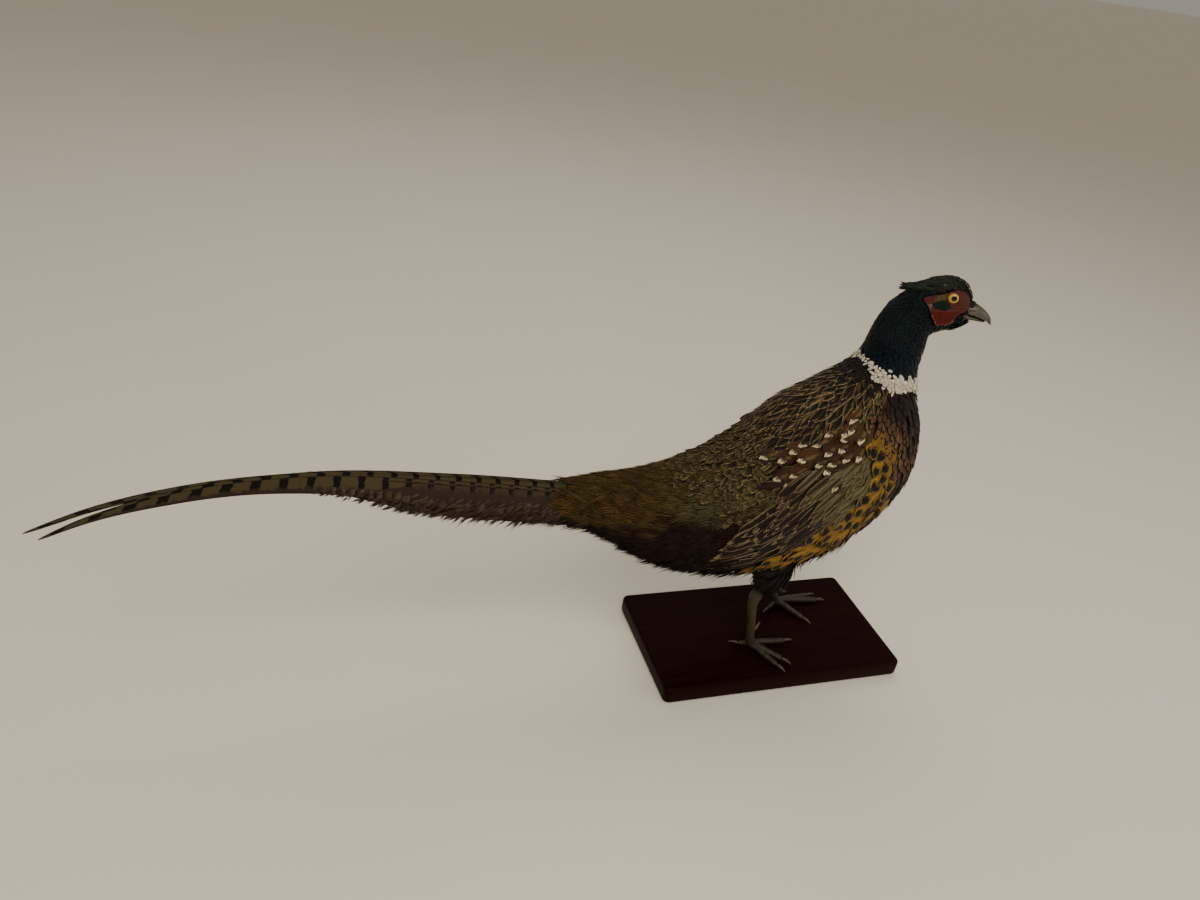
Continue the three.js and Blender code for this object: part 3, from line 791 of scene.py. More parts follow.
# The tracts: spacing, length and width are in millimetres, and root and tip are heights over
# the outer surface. A tract with rows sets its spots in rows between two borders.
tractLooks = {
    "mantle": {
        "spacing": 4.9, "length": 26, "width": 9, "kind": "pointed", "seed": 21,
        "spread": {"size": 0.15, "turn": 5, "rise": 0.35},
        "lay": {"root": -3.9, "tip": 0.1, "thick": 0.25},
        "finish": {
            "masks": {"Streak Width": 0.4, "Streak End": 0.95, "Rim Width": 0.17, "Ragged": 0.35},
            "marks": (("Streak", "#080403", 1.0), ("Rim", "#a8926a", 0.92)), "toneSpread": 0.6,
        },
    },
    "nape": {
        "spacing": 2.9, "length": 12, "width": 6.4, "kind": "round", "seed": 34,
        "spread": {"size": 0.2, "turn": 9, "rise": 0.3},
        "lay": {"root": -3.2, "tip": 0.0, "thick": 0.2},
        "finish": {"masks": {"Rim Width": 0.16, "Ragged": 0.3}, "marks": (("Rim", "#43392a", 0.6),)},
    },
    "breast": {
        "spacing": 4.5, "length": 19, "width": 6.6, "kind": "round", "seed": 22,
        "spread": {"size": 0.14, "turn": 6, "rise": 0.3},
        "lay": {"root": -3.9, "tip": -0.1, "thick": 0.25},
        "finish": {
            "masks": {"Rim Width": 0.34, "Ragged": 0.2}, "marks": (("Rim", "#060302", 1.0),),
            "toneSpread": 0.6,
        },
    },
    "shoulder": {
        "rows": (-0.02, 0.23, 0.48, 0.73, 0.96), "pitch": 13.5, "stations": (0.745, 0.452),
        "slant": 0.078, "between": ("shoulderTop", "shoulderLow"), "slot": "wing",
        "length": 30, "width": 18, "kind": "broad", "seed": 23,
        "spread": {"size": 0.1, "turn": 9, "rise": 0.3},
        "lay": {"root": -3.6, "tip": 0.8, "thick": 0.35},
        "finish": {
            "masks": {"Spot Place": 0.85, "Spot Long": 0.13, "Spot Wide": 0.34, "Spot Hollow": 0.85,
                      "Rim Width": 0.08, "Ragged": 0.3, "Streak Width": 0.12, "Streak End": 0.8},
            "marks": (("Streak", "#6b5834", 0.55), ("Rim", "#7c6040", 0.6), ("Ring", "#120905", 0.95),
                      ("Spot", "#cbb891", 1.0)), "toneSpread": 0.4,
        },
    },
    "covert": {
        "spacing": 5.2, "length": 30, "width": 9.5, "kind": "long", "seed": 24, "slot": "wing",
        "spread": {"size": 0.18, "turn": 8, "rise": 0.4},
        "lay": {"root": -3.4, "tip": 0.0, "thick": 0.3},
        "finish": {
            "masks": {"Streak Width": 0.22, "Streak End": 0.95, "Rim Width": 0.14, "Ragged": 0.5},
            "marks": (("Streak", "#2c2112", 0.75), ("Rim", "#7d7450", 0.6)), "toneSpread": 0.5,
            "grain": 0.8,
        },
    },
    "back": {
        "spacing": 4.3, "length": 20, "width": 10, "kind": "round", "seed": 25,
        "spread": {"size": 0.22, "turn": 14, "rise": 0.5},
        "lay": {"root": -3.9, "tip": 0.1, "thick": 0.25},
        "finish": {
            "masks": {"Line Place": 0.64, "Line Width": 0.11, "Streak Width": 0.3,
                      "Streak End": 0.7, "Rim Width": 0.14, "Ragged": 0.9},
            "marks": (("Streak", "#150d06", 0.8), ("Rim", "#1b1309", 0.8), ("Line", "#8d7c4c", 0.72)),
            "toneSpread": 0.6,
        },
    },
    "flank": {
        "rows": (0.16, 0.44, 0.72, 0.98), "pitch": 12.5, "stations": (0.705, 0.38),
        "slant": 0, "between": ("flankTop", "flankLow"),
        "length": 34, "width": 19, "kind": "broad", "seed": 26,
        "spread": {"size": 0.1, "turn": 8, "rise": 0.3},
        "lay": {"root": -3.0, "tip": 1.4, "thick": 0.35},
        "finish": {
            "masks": {"Spot Place": 0.84, "Spot Long": 0.17, "Spot Wide": 0.72, "Ragged": 0.45,
                      "Streak Width": 0.16, "Streak End": 0.7, "Rim Width": 0.06},
            "marks": (("Streak", "#6d4618", 0.5), ("Rim", "#a98a4c", 0.45), ("Spot", "#040406", 1.0)),
            "toneSpread": 0.5, "grain": 0.7,
        },
    },
    "belly": {
        "spacing": 5.6, "length": 29, "width": 12, "kind": "hair", "seed": 27,
        "spread": {"size": 0.25, "turn": 9, "rise": 0.6},
        "lay": {"root": -3.9, "tip": 1.4, "lift": 5.5, "thick": 0.5},
        "finish": {"masks": {"Ragged": 0.3}, "toneSpread": 0.6},
    },
    "vent": {
        "spacing": 4.6, "length": 28, "width": 10, "kind": "shag", "seed": 28,
        "spread": {"size": 0.35, "turn": 15, "rise": 0.8, "bend": 0.12},
        "lay": {"root": -4.2, "tip": 1.2, "lift": 7, "thick": 0.6},
        "finish": {"masks": {"Ragged": 0.3}, "toneSpread": 0.7},
    },
    "rump": {
        "spacing": 4.3, "length": 34, "width": 12, "kind": "hair", "seed": 29,
        "spread": {"size": 0.22, "turn": 8, "rise": 0.7, "bend": 0.05},
        "lay": {"root": -4.0, "tip": 0.1, "thick": 0.5, "lift": 0.6},
        "finish": {"masks": {"Ragged": 0.3}, "toneSpread": 0.55},
    },
    "quills": {
        "spacing": 7.5, "length": 30, "width": 14, "kind": "round", "seed": 30, "slot": "wing",
        "spread": {"size": 0.15, "turn": 5, "rise": 0.3},
        "lay": {"root": -4.0, "tip": -2.2, "thick": 0.3},
        "finish": {"masks": {"Rim Width": 0.12}, "marks": (("Rim", "#8a7450", 0.5),)},
    },
    "neck": {
        "spacing": 2.1, "length": 8, "width": 4.4, "kind": "small", "seed": 31, "slot": "neck",
        "spread": {"size": 0.2, "turn": 7, "rise": 0.12},
        "lay": {"root": -2.2, "tip": -0.1, "thick": 0.16},
        "finish": {
            "masks": {"Rim Width": 0.12, "Ragged": 0.1}, "marks": (("Rim", "#04060c", 0.35),),
            "roughness": 0.4, "specular": 0.25, "metallic": 0.7, "toneSpread": 0.5,
        },
    },
    "collar": {
        "spacing": 1.5, "length": 6.5, "width": 3.4, "kind": "small", "seed": 32, "slot": "neck",
        "spread": {"size": 0.3, "turn": 14, "rise": 0.3},
        "lay": {"root": -2.0, "tip": 0.5, "lift": 0.6, "thick": 0.2},
        "finish": {"masks": {"Ragged": 0.2}, "toneSpread": 0.25, "grain": 0.2},
    },
}


def softNoise(rng, points, size):  # a smooth value from 0 to 1 over the body, the same each run
    waves = rng.normal(0, 1 / (size * mm), (10, 3))
    phase = rng.uniform(0, tau, 10)
    return 0.5 + 0.5 * np.tanh(np.sin(points @ waves.T + phase).sum(axis=1) / 2.2)


def glossOf(points):  # the dark gloss of head and neck, blue running into green
    blueness = softNoise(np.random.default_rng(8), points, 11)
    colour = mixed("inkBlue", "violet", smoothStep(0.45, 0.95, blueness) * 0.6) * 0.5
    greenness = softNoise(np.random.default_rng(9), points, 16)
    high = smoothStep(330, 385, points[:, 2] / mm)
    green = np.clip(smoothStep(0.6, 0.95, greenness) * 0.5 + 0.3 * high, 0, 1)
    return toward(colour, "deepGreen", green) * (1 - 0.35 * high)[:, None]


plainTracts = {"nape": ("black", "darkBrown"), "vent": ("darkBrown", "maroon"),
               "quills": ("darkBrown", "maroon")}


def groundFor(name, roots):  # the ground colour of each feather in a tract
    g = ground
    t, phi = g.t[roots], g.phi[roots]
    rng = np.random.default_rng(5)
    drift = softNoise(rng, g.points[roots], 14)
    if name == "mantle":
        side = smoothStep(24, 46, phi) * smoothStep(0.58, 0.68, t)
        colour = mixed("umber", "ochre", np.clip(side + 0.25 * (drift - 0.5), 0, 1))
        return colour * (1 - 0.35 * smoothStep(0.80, 0.83, t))[:, None]
    if name in plainTracts:
        return mixed(*plainTracts[name], drift)
    if name == "breast":
        pale = smoothStep(0.84, 0.76, t) * smoothStep(0.58, 0.66, t) * smoothStep(140, 95, phi)
        colour = mixed("copper", "dust", pale * (0.6 + 0.4 * drift))
        warm = smoothStep(0.93, 1.0, drift) * smoothStep(0.68, 0.76, t) * 0.6
        # darker low on the breast, under the body, and just under the neck: painted shade
        paintedShade = (0.35 + 0.65 * smoothStep(0.56, 0.66, t)) * (1 - 0.3 * smoothStep(0.82, 0.85, t))
        return toward(colour, "orange", warm) * paintedShade[:, None]
    if name == "shoulder":
        return mixed("chestnut", "rufous", drift * smoothStep(0.5, 0.66, t)) * 0.85
    if name == "covert":
        # grey-olive in front, maroon behind and below
        colour = mixed("greyOlive", "olive", drift * 0.5)
        rear = smoothStep(0.60, 0.54, t + 0.05 * (drift - 0.5)) * smoothStep(66, 80, phi)
        return toward(colour, "maroon", np.maximum(rear, smoothStep(0.56, 0.50, t)))
    if name == "back":
        pale = smoothStep(28, 48, phi) * 0.7
        return toward(mixed("olive", "umber", drift * 0.8) * 0.8, "greyGreen", pale) * 0.75
    if name == "flank":
        # lower down, by the thigh, the feathers turn rufous and darker: the rufous is their own colour,
        # the darkening is painted shade under the body
        low = smoothStep(150, 118, g.z[roots])
        colour = mixed("gold", "rufous", np.clip(0.9 * low + 0.3 * drift, 0, 1))
        return colour * (1 - 0.45 * low)[:, None]
    if name == "belly":
        warm = smoothStep(112, 128, g.z[roots]) * smoothStep(0.45, 0.6, t) * 0.5
        return toward(mixed("belly", "darkBrown", drift), "rufous", warm)
    if name == "neck":
        return glossOf(g.points[roots])
    if name == "collar":
        return mixed("white", "tan", 0.12 * drift)
    # the rump runs from grey-green by the wing to golden olive by the tail and maroon below
    grey = np.exp(-((t - 0.35) / 0.085) ** 2 - ((phi - 56) / 26) ** 2)
    colour = mixed("goldOlive", "rufous", 0.75 * drift * smoothStep(0.3, 0.12, t) + 0.1)
    low = 67 + 34 * smoothStep(0.27, 0.12, t)
    dark = smoothStep(low, low + 14, phi + 12 * (drift - 0.5))
    return toward(toward(colour, "greyGreen", grey), "maroon", dark)


sideTracts = ("flank", "covert", "quills")


def flowFor(name):  # which way each place's feathers lie in this tract
    lie = ground.lie.copy()
    if name in sideTracts:
        lie = lie * 0.5 + np.array((-0.88, 0, -0.47)) * 0.5
    if name in ("flank", "belly"):
        down = smoothStep(132, 112, ground.z)[:, None]
        lie = lie * (1 - down) + np.array((-0.35, 0, -0.94)) * down
    return unit(lie)


def chosenFor(name, look, flow):  # places whose feather would show its tip in this tract
    reach = 0.72 * look["length"] * mm
    if name not in sideTracts:
        return np.nonzero(plumage(ground.t - reach / ground.stride, ground.phi)[name])[0]
    some = np.nonzero((ground.t > 0.3) & (ground.t < 0.82) & (ground.phi > 40))[0]
    tips = ground.points[some] + flow[some] * reach
    i, j = body.near(tips)
    t, phi = ground.t.copy(), ground.phi.copy()
    t[some], phi[some] = body.t[i], body.phi[j]
    return np.intersect1d(np.nonzero(plumage(t, phi)[name])[0], some)


rowLimits = {"lowest": 131, "apart": 9.5}  # millimetres


def inRows(look, flow):  # feathers whose spots stand in staggered rows
    reach = look["finish"]["masks"]["Spot Place"] * look["length"] * mm
    columns = len(body.turn)
    pitch = look["pitch"]
    front, back = look["stations"]
    spots, roots, lies = [], [], []
    for side in (-1, 1):
        for number, share in enumerate(look["rows"]):
            stations = np.linspace(front - look["slant"] * share, back, 160)
            rowsAt = np.clip(np.searchsorted(body.t, stations), 0, len(body.t) - 1)
            top, low = (edges[name](stations) for name in look["between"])
            turns = side * (top + (low - top) * share) / 360 * columns
            line = body.points[rowsAt, np.round(turns).astype(int) % columns]
            run = runAlong(line) / mm
            for place in np.arange((number % 2) * pitch / 2, run[-1], pitch):
                spot = Vector([np.interp(place, run, line[:, k]) for k in range(3)])
                crowded = any((spot - other).length < rowLimits["apart"] * mm for other in spots)
                if crowded or spot.z < rowLimits["lowest"] * mm:
                    continue
                spots.append(spot)
                way = Vector(flow[poolTree.find(spot)[1]])
                root = poolTree.find(spot - way * reach)[1]
                roots.append(root)
                lies.append((spot - Vector(ground.points[root])).normalized())
    return np.array(roots), np.array(lies)


poolTree = treeOf(ground.points)
grown = {}
for name, look in tractLooks.items():
    rng = np.random.default_rng(look["seed"])
    flow = flowFor(name)
    if "rows" in look:
        roots, lies = inRows(look, flow)
    else:
        roots = spread(rng, chosenFor(name, look, flow), look["spacing"])
        lies = flow[roots]
    growth = Growth(ground.points[roots], lies, look["length"] * mm, look["width"] * mm,
                    groundFor(name, roots), ground.bake[roots], rng, look["spread"])
    material = featherMaterial(f"{name}Feathers", look["finish"])
    grow(f"{name}_feathers", growth, shapes[look["kind"]], look["lay"], material,
         look.get("slot", "trunk"))
    grown[name] = growth


# The skin under the feathers takes their colours, a little darker.
def skinMaterial():
    skin = Surface("featheredSkin")
    colour = skin.attribute("ground", "Color")
    down = skin.noise(420.0, 5.0, 0.65)
    dark = skin.blend(0.6, colour, coat["down"])
    return skin.finish(skin.blend(skin.step(down, 0.25, 0.75), dark, colour), down * 0.2 + 0.7,
                       (down, 0.8, 0.5), specular=0.15)


def skinPiece():  # the coat's outer surface sunk by the coat's depth
    bm = outer.copy()
    verts = np.array([v.co for v in bm.verts])
    normals = np.array([v.normal for v in bm.verts])
    forward, _, height = (verts / mm).T
    onNeck = smoothStep(*coat["neckHeight"], height) * smoothStep(*coat["neckFront"], forward)
    onFace = smoothStep(*coat["headHeight"], height)
    depth = coat["bodyDepth"] + (coat["neckDepth"] - coat["bodyDepth"]) * onNeck
    depth = depth + (coat["headDepth"] - coat["neckDepth"]) * onFace
    for vert, sunk in zip(bm.verts, verts - normals * depth[:, None]):
        vert.co = sunk
    soften(bm)
    mesh = meshOf(bm, "skin")
    rootTree = treeOf(np.concatenate([growth.roots for growth in grown.values()]))
    rootGround = np.concatenate([growth.ground for growth in grown.values()])
    nearest = [rootTree.find(point)[1] for point in verts]
    addColours(mesh, rootGround[nearest] * coat["skinShade"])
    mesh.polygons.foreach_set("use_smooth", np.ones(len(mesh.polygons), bool))
    place("skin", mesh, skinMaterial(), "trunk", *coat["flesh"])


# The bare red face, seen from the side in the head's own millimetres, round its middle.
face = {
    "middle": (20, 29),
    "outline": ((0.8, 31.8), (4.7, 26.1), (8.7, 21.6), (12.6, 15.3), (16.7, 9.6), (18.8, 8.2),
                (22.5, 10.4), (25.6, 10.4), (29.2, 12.9), (31, 16.4), (31.6, 20.2), (33.4, 23.2),
                (36.6, 25.4), (39.6, 28.4), (39.4, 32.7), (37.2, 38.8), (32.8, 42.4),
                (26.4, 43.8), (20.1, 41.4), (15.6, 38.8), (11, 36.3), (5.2, 34.2)),
    "eye": (23.8, 11.6, 37),
    "eyeRadius": 6,
    "eyeOpening": 4.55,
    "lid": {"from": 4.6, "to": 9, "out": 14.9},  # where the skin bridges the eye's hollow
}


def reachAround(middle):  # how far the face's edge lies from a place inside it, by angle
    points = np.array(face["outline"]) - middle
    angles = np.arctan2(points[:, 1], points[:, 0])
    order = np.argsort(angles)
    reach = np.hypot(points[:, 0], points[:, 1])[order]
    angles = angles[order]
    wide = np.concatenate((angles[-3:] - tau, angles, angles[:3] + tau))
    return curve({"at": wide, "reach": np.concatenate((reach[-3:], reach, reach[:3]))}, "reach")


faceReach = reachAround(face["middle"])


def faceShare(hx, hz):  # 0 in the middle of the bare face, 1 on its edge
    dx, dz = hx - face["middle"][0], hz - face["middle"][1]
    return np.hypot(dx, dz) / faceReach(np.arctan2(dz, dx))


headLook = {
    "spacing": 1.55, "length": 5.2, "width": 3.0, "kind": "small", "seed": 33, "most": 90000,
    "spread": {"size": 0.2, "turn": 7, "rise": 0.1},
    "lay": {"root": -1.2, "tip": 0.0, "thick": 0.12},
    "finish": {
        "masks": {"Rim Width": 0.12, "Ragged": 0.1}, "marks": (("Rim", "#04060a", 0.35),),
        "roughness": 0.42, "specular": 0.25, "metallic": 0.5, "toneSpread": 0.5,
    },
}


def headFeathers():
    rng = np.random.default_rng(headLook["seed"])
    hx, hy, hz = ground.head.T
    bare = (faceShare(hx, hz) < 1.0) & (np.abs(hy) > 4)
    bill = (hx > 39.5) & (hz > 14) & (hz < 36)
    free = (ground.t > headFrom) & ~bare & ~bill
    roots = spread(rng, np.nonzero(free)[0], headLook["spacing"], headLook["most"])
    local = ground.head[roots]
    x, _, z = local.T
    back = unit(local - np.array((62, 0, 30))) @ headTurn.T
    share = smoothStep(6, -14, x)[:, None]
    lies = unit(back * (1 - share) + ground.lie[roots] * share)
    colour = toward(glossOf(ground.points[roots]), "crown", smoothStep(36, 42, z))
    # a fine pale line over the eye, on scattered feathers: painted glints
    over = np.abs(z - (44.5 + 0.12 * (x - 20)))
    pale = smoothStep(1.6, 0.4, over) * smoothStep(0, 8, x) * smoothStep(27, 22, x)
    pale = 0.7 * pale * (rng.uniform(0, 1, len(roots)) > 0.5)
    growth = Growth(ground.points[roots], lies, headLook["length"] * mm, headLook["width"] * mm,
                    toward(colour, "eyebrow", pale), headBake(local), rng, headLook["spread"])
    growth.length *= 0.6 + 0.5 * smoothStep(34, 10, x)
    growth.rise = growth.rise + 1.2 * mm * smoothStep(38, 46, z)
    grow("head_feathers", growth, shapes[headLook["kind"]], headLook["lay"],
         featherMaterial("headFeathers", headLook["finish"]), "crown", joints=3)
    return growth


grown["head"] = headFeathers()
skinPiece()
print("skin done")


def sideSpot(x, z, hand):  # the coat's side, where it is met from far out at that side
    return outerTree.ray_cast(Vector((x * mm, hand * 0.3, z * mm)), Vector((0, -hand, 0)))[0]


# The folded wings' long quills lie in sets, from first to last in each.
wingQuills = {
    "seed": 41, "sink": 0.12,
    "sets": (
        {"count": 14, "roots": ((-40, 230), (2, 176)), "tips": ((-97, 190), (-120, 142)),
         "width": (13, 11), "stray": 3, "rise": 0.0, "tints": ("darkBrown", "maroon")},
        {"count": 16, "roots": ((-34, 228), (6, 184)), "tips": ((-80, 194), (-62, 150)),
         "width": (10, 9), "stray": 6, "rise": 0.5, "tints": ("darkBrown", "maroon")},
        {"count": 22, "roots": ((-24, 246), (26, 196)), "tips": ((-66, 205), (-22, 156)),
         "width": (8.5, 8), "stray": 7, "rise": 1.0, "tints": ("darkBrown", "maroon")},
        {"count": 34, "roots": ((-30, 252), (20, 206)), "tips": ((-60, 226), (-14, 172)),
         "width": (8, 7), "stray": 9, "rise": 1.6, "tints": ("umber", "darkBrown")},
        {"count": 26, "roots": ((-20, 258), (26, 213)), "tips": ((-46, 236), (0, 184)),
         "width": (7, 6), "stray": 9, "rise": 1.7, "tints": ("greyOlive", "umber")},
    ),
    "spread": {"size": 0.03, "turn": 1, "bend": 0.02, "roll": 2, "rise": 0.05},
    "lay": {"root": -1.8, "tip": 0.9, "thick": 0.6, "dome": 8},
    "finish": {
        "masks": {"Rim Width": 0.17, "Ragged": 0.3, "Streak Width": 0.3, "Streak End": 0.96},
        "marks": (("Streak", "#0a0402", 0.75), ("Rim", "#8d7b5a", 0.85)),
        "toneSpread": 0.4,
    },
}


def quillFeathers():
    look = wingQuills
    rng = np.random.default_rng(look["seed"])
    roots, lies, lengths, widths, sinks, sides, tones = [], [], [], [], [], [], []
    for group in look["sets"]:
        for _, hand in hands:
            for number in range(group["count"]):
                share = number / (group["count"] - 1)
                stray = rng.uniform(-1, 1, 2) * group["stray"]
                ends = [[a + (b - a) * share + moved + rng.uniform(-2, 2)
                         for a, b, moved in zip(*group[end], stray)] for end in ("roots", "tips")]
                root, tip = (sideSpot(*end, hand) for end in ends)
                roots.append(root)
                lies.append((tip - root).normalized())
                lengths.append((tip - root).length * 1.04)
                widths.append(group["width"][0] + (group["width"][1] - group["width"][0]) * share)
                sinks.append((group["rise"] - look["sink"] * number) * mm)
                tones.append(mixed(*group["tints"], rng.uniform(0, 1, 1))[0])
                sides.append(0 if hand < 0 else 1)
    roots, lies = np.array(roots), np.array(lies)
    growth = Growth(roots, lies, np.array(lengths), np.array(widths) * mm, np.array(tones),
                    body.bakeAt(*body.near(roots)), rng, look["spread"])
    growth.rise = growth.rise + np.array(sinks)
    growth.pick = np.array(sides)
    long = vaneShape(14, 6, outlines["long"])
    grow("wing_quills", growth, [long, long.mirrored()], look["lay"],
         featherMaterial("quillFeathers", look["finish"]), "wing", joints=12)


quillFeathers()

# The tail: six pairs of long feathers under a ridge, each pair with bars.
tail = {
    "ridge": {"at": (245, 340, 455, 560, 620, 681), "z": (221, 234, 243, 231.5, 214.5, 187)},
    "taper": {"at": (0, 0.25, 0.44, 0.6, 0.78, 0.88, 0.95, 1),
              "width": (1, 0.96, 0.70, 0.50, 0.35, 0.24, 0.17, 0.10)},
    "shortTaper": {"at": (0, 0.5, 0.8, 0.93, 1), "width": (1, 0.9, 0.6, 0.34, 0.08)},
    "inside": 30,  # how far the quills run on under the rump
    "length": 437,
    "splay": 9, "short": 17,  # the near feather of the middle pair ends sooner
    "bend": {-1: 0.5, 1: 1.5},  # how much flatter each side's vanes lie at the tip
    # the first tone is mostly the feathers' own; the second, darker one is painted shade on the pairs
    # lying under the middle pair
    "tones": ("#4a4129", "#30251d"),
    "fringe": "#32261f", "bar": "#0a0604", "shaft": "#2a1a0d",
    # length behind the rump, how far out and down from the ridge, half width and tilt
    "pairs": ((437, 11.2, 8.8, 15.5, 45), (236, 13.8, 10.6, 14.6, 48), (215, 14.4, 13.6, 14.4, 51),
              (200, 15, 17, 14.5, 54), (176, 14, 20, 13.5, 57), (148, 12.4, 22.4, 12.5, 61)),
    "bars": {"start": 0.590, "rate": 0.06315, "slow": -3.218e-5, "width": 0.3, "lag": 0.45},
}
tailWidth, tailShort = (curve(tail[key], "width") for key in ("taper", "shortTaper"))


def ridgeAt(runs):  # points on the tail's ridge at these distances behind the rump
    x = np.linspace(tail["ridge"]["at"][0], tail["ridge"]["at"][-1], 400)
    z = curve(tail["ridge"], "z")(x)
    run = runAlong(np.stack((x, z), axis=1))
    back = np.minimum(runs, 0)
    return np.interp(runs, run, x) + back, np.interp(runs, run, z) + 0.12 * back


def rectrixShape(along, across, length, taper):
    def outline(s):
        run = s * (length + tail["inside"]) - tail["inside"]
        return taper(max(run, 0) / length)
    shape = vaneShape(along, across, outline, 0.02)
    ridge = np.abs(shape.uv[:, 0] - 0.25) < 0.03
    shape.h = shape.h + np.where(ridge & (shape.s > 0.02), 0.9 * (1 - shape.s), 0)
    return shape


def barMarks():  # black bars across a long tail feather, from the phase each point carries
    group = Group("barMarks", {"Width": 0.27, "Reach": 0.75}, ("Bars", "Fringe", "Shaft"))
    across = group.layer("vane")[0]
    phase = group.attribute("phase")
    stray = group.noise(260.0, 3.0) - 0.5
    # the narrow vane's bars stand a little further out than the wide one's
    inner = group.maths("LESS_THAN", across, 0.25)
    along = phase + (inner * 0.32 + across * -0.22) + stray * 0.22
    off = abs(group.maths("FRACT", along) - 0.5)
    # the bars grow bolder towards the tip
    half = group.given["Width"] * (group.step(phase, 9.0, 17.0) * 0.22 + 0.5)
    reach = group.given["Reach"]
    faded = group.fall(across + stray * 0.5, reach - 0.2, reach)
    group.give("Bars", group.fall(off, half * 0.75, half) * faded)
    group.give("Fringe", 1.0 - faded)
    group.give("Shaft", group.fall(abs(across - 0.25), 0.012, 0.03))
    return group


barGroup = barMarks()


def tailMaterial(name, reach):
    skin = Surface(name)
    marks = skin.use(barGroup, Reach=reach, Width=tail["bars"]["width"])
    barbs = skin.use(vaneGroup, Barbs=150)["Barbs"]
    colour = skin.attribute("ground", "Color")
    grain = skin.noise(300.0, 5.0, 0.65)
    colour = skin.over(colour, (marks["Fringe"], tail["fringe"]), (marks["Bars"] * 0.97, tail["bar"]),
                       (marks["Shaft"] * 0.8, tail["shaft"]))
    light = (grain * 0.5 + 0.75) * (barbs * 0.14 + 0.93)
    return skin.finish(skin.dimmed(colour, light), grain * 0.25 + 0.5,
                       (barbs + grain, 0.5, 0.15), specular=0.12)


def tailLines(pair, hand, joints):
    length, out, drop, half, tilt = pair
    if hand < 0 and length == tail["length"]:
        length -= tail["short"]
    runs = np.linspace(-tail["inside"], length, joints + 1)
    x, z = ridgeAt(runs)
    share = np.clip(runs, 0, None) / tail["length"]
    close = tailWidth(share)
    apart = out * close + tail["splay"] * share ** 6
    points = np.stack((-x, hand * apart, z - drop * close), axis=1) * mm
    ways = unit(np.gradient(points, axis=0))
    lean = radians(tilt) * (1 - tail["bend"][hand] * share ** 2)
    up = np.stack((0 * lean, hand * np.sin(lean), np.cos(lean)), axis=1)
    return points, unit(up - ways * (ways * up).sum(axis=1, keepdims=True)), ways


def tailFeathers():
    rng = np.random.default_rng(51)
    pieces = []
    pale, dark = (paint(code) for code in tail["tones"])
    for order, pair in enumerate(tail["pairs"]):
        length, half = pair[0], pair[3]
        joints = int(length / 6)
        lines = [np.array(field) for field in zip(*(tailLines(pair, hand, joints)
                                                    for _, hand in hands))]
        shape = rectrixShape(int(length / 5), 12, length, tailWidth if order == 0 else tailShort)
        # the pairs that lie lower, under the middle pair, take more of the dark tone: painted shade
        paintedShade = 0.15 if order == 0 else min(0.35 + 0.2 * order, 1)
        tones = pale * (1 - paintedShade) + dark * paintedShade
        growth = Growth(lines[0][:, 0], lines[2][:, 0], length * mm + tail["inside"] * mm,
                        2 * half * mm, np.array((tones, tones)), np.zeros((2, 2)), rng,
                        {"size": 0.0, "turn": 0, "bend": 0, "roll": 0, "rise": 0})
        growth.pick = np.array((0, 1))
        lay = {"root": -0.45 * order, "tip": -0.45 * order, "thick": 0.7, "dome": 12}
        piece = grow(f"tail_pair_{order + 1}", growth, [shape, shape.mirrored()], lay,
                     tailMaterial(f"tailFeathers{order + 1}", 0.86 if order == 0 else 0.5),
                     "tail", joints, lines)
        # each point carries how many bars lie between it and the rump
        mesh = piece.data
        x, y, _ = np.array([v.co for v in mesh.vertices]).T
        run = x / -mm - tail["ridge"]["at"][0]
        bars = tail["bars"]
        phase = bars["start"] + bars["rate"] * run + bars["slow"] * run ** 2 - bars["lag"] * (y > 0)
        mesh.attributes.new("phase", "FLOAT", "POINT").data.foreach_set("value", phase)
        mesh.uv_layers.remove(mesh.uv_layers["OFBake"])
        pieces.append(piece)
    return pieces


tailPieces = tailFeathers()
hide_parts("tail_middle_right", "tail_middle_left")
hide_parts("tail_inner_right", "tail_inner_left")
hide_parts("tail_outer_right", "tail_outer_left")

# Soft barbs hang from the lower edges of the tail feathers.
tailFringe = {"count": 1200, "reach": 215, "seed": 52, "length": 15, "width": 2.3,
              "tones": ("#574735", "#3a2d23"),
              "spread": {"size": 0.3, "turn": 6, "bend": 0.1, "rise": 0.12}}


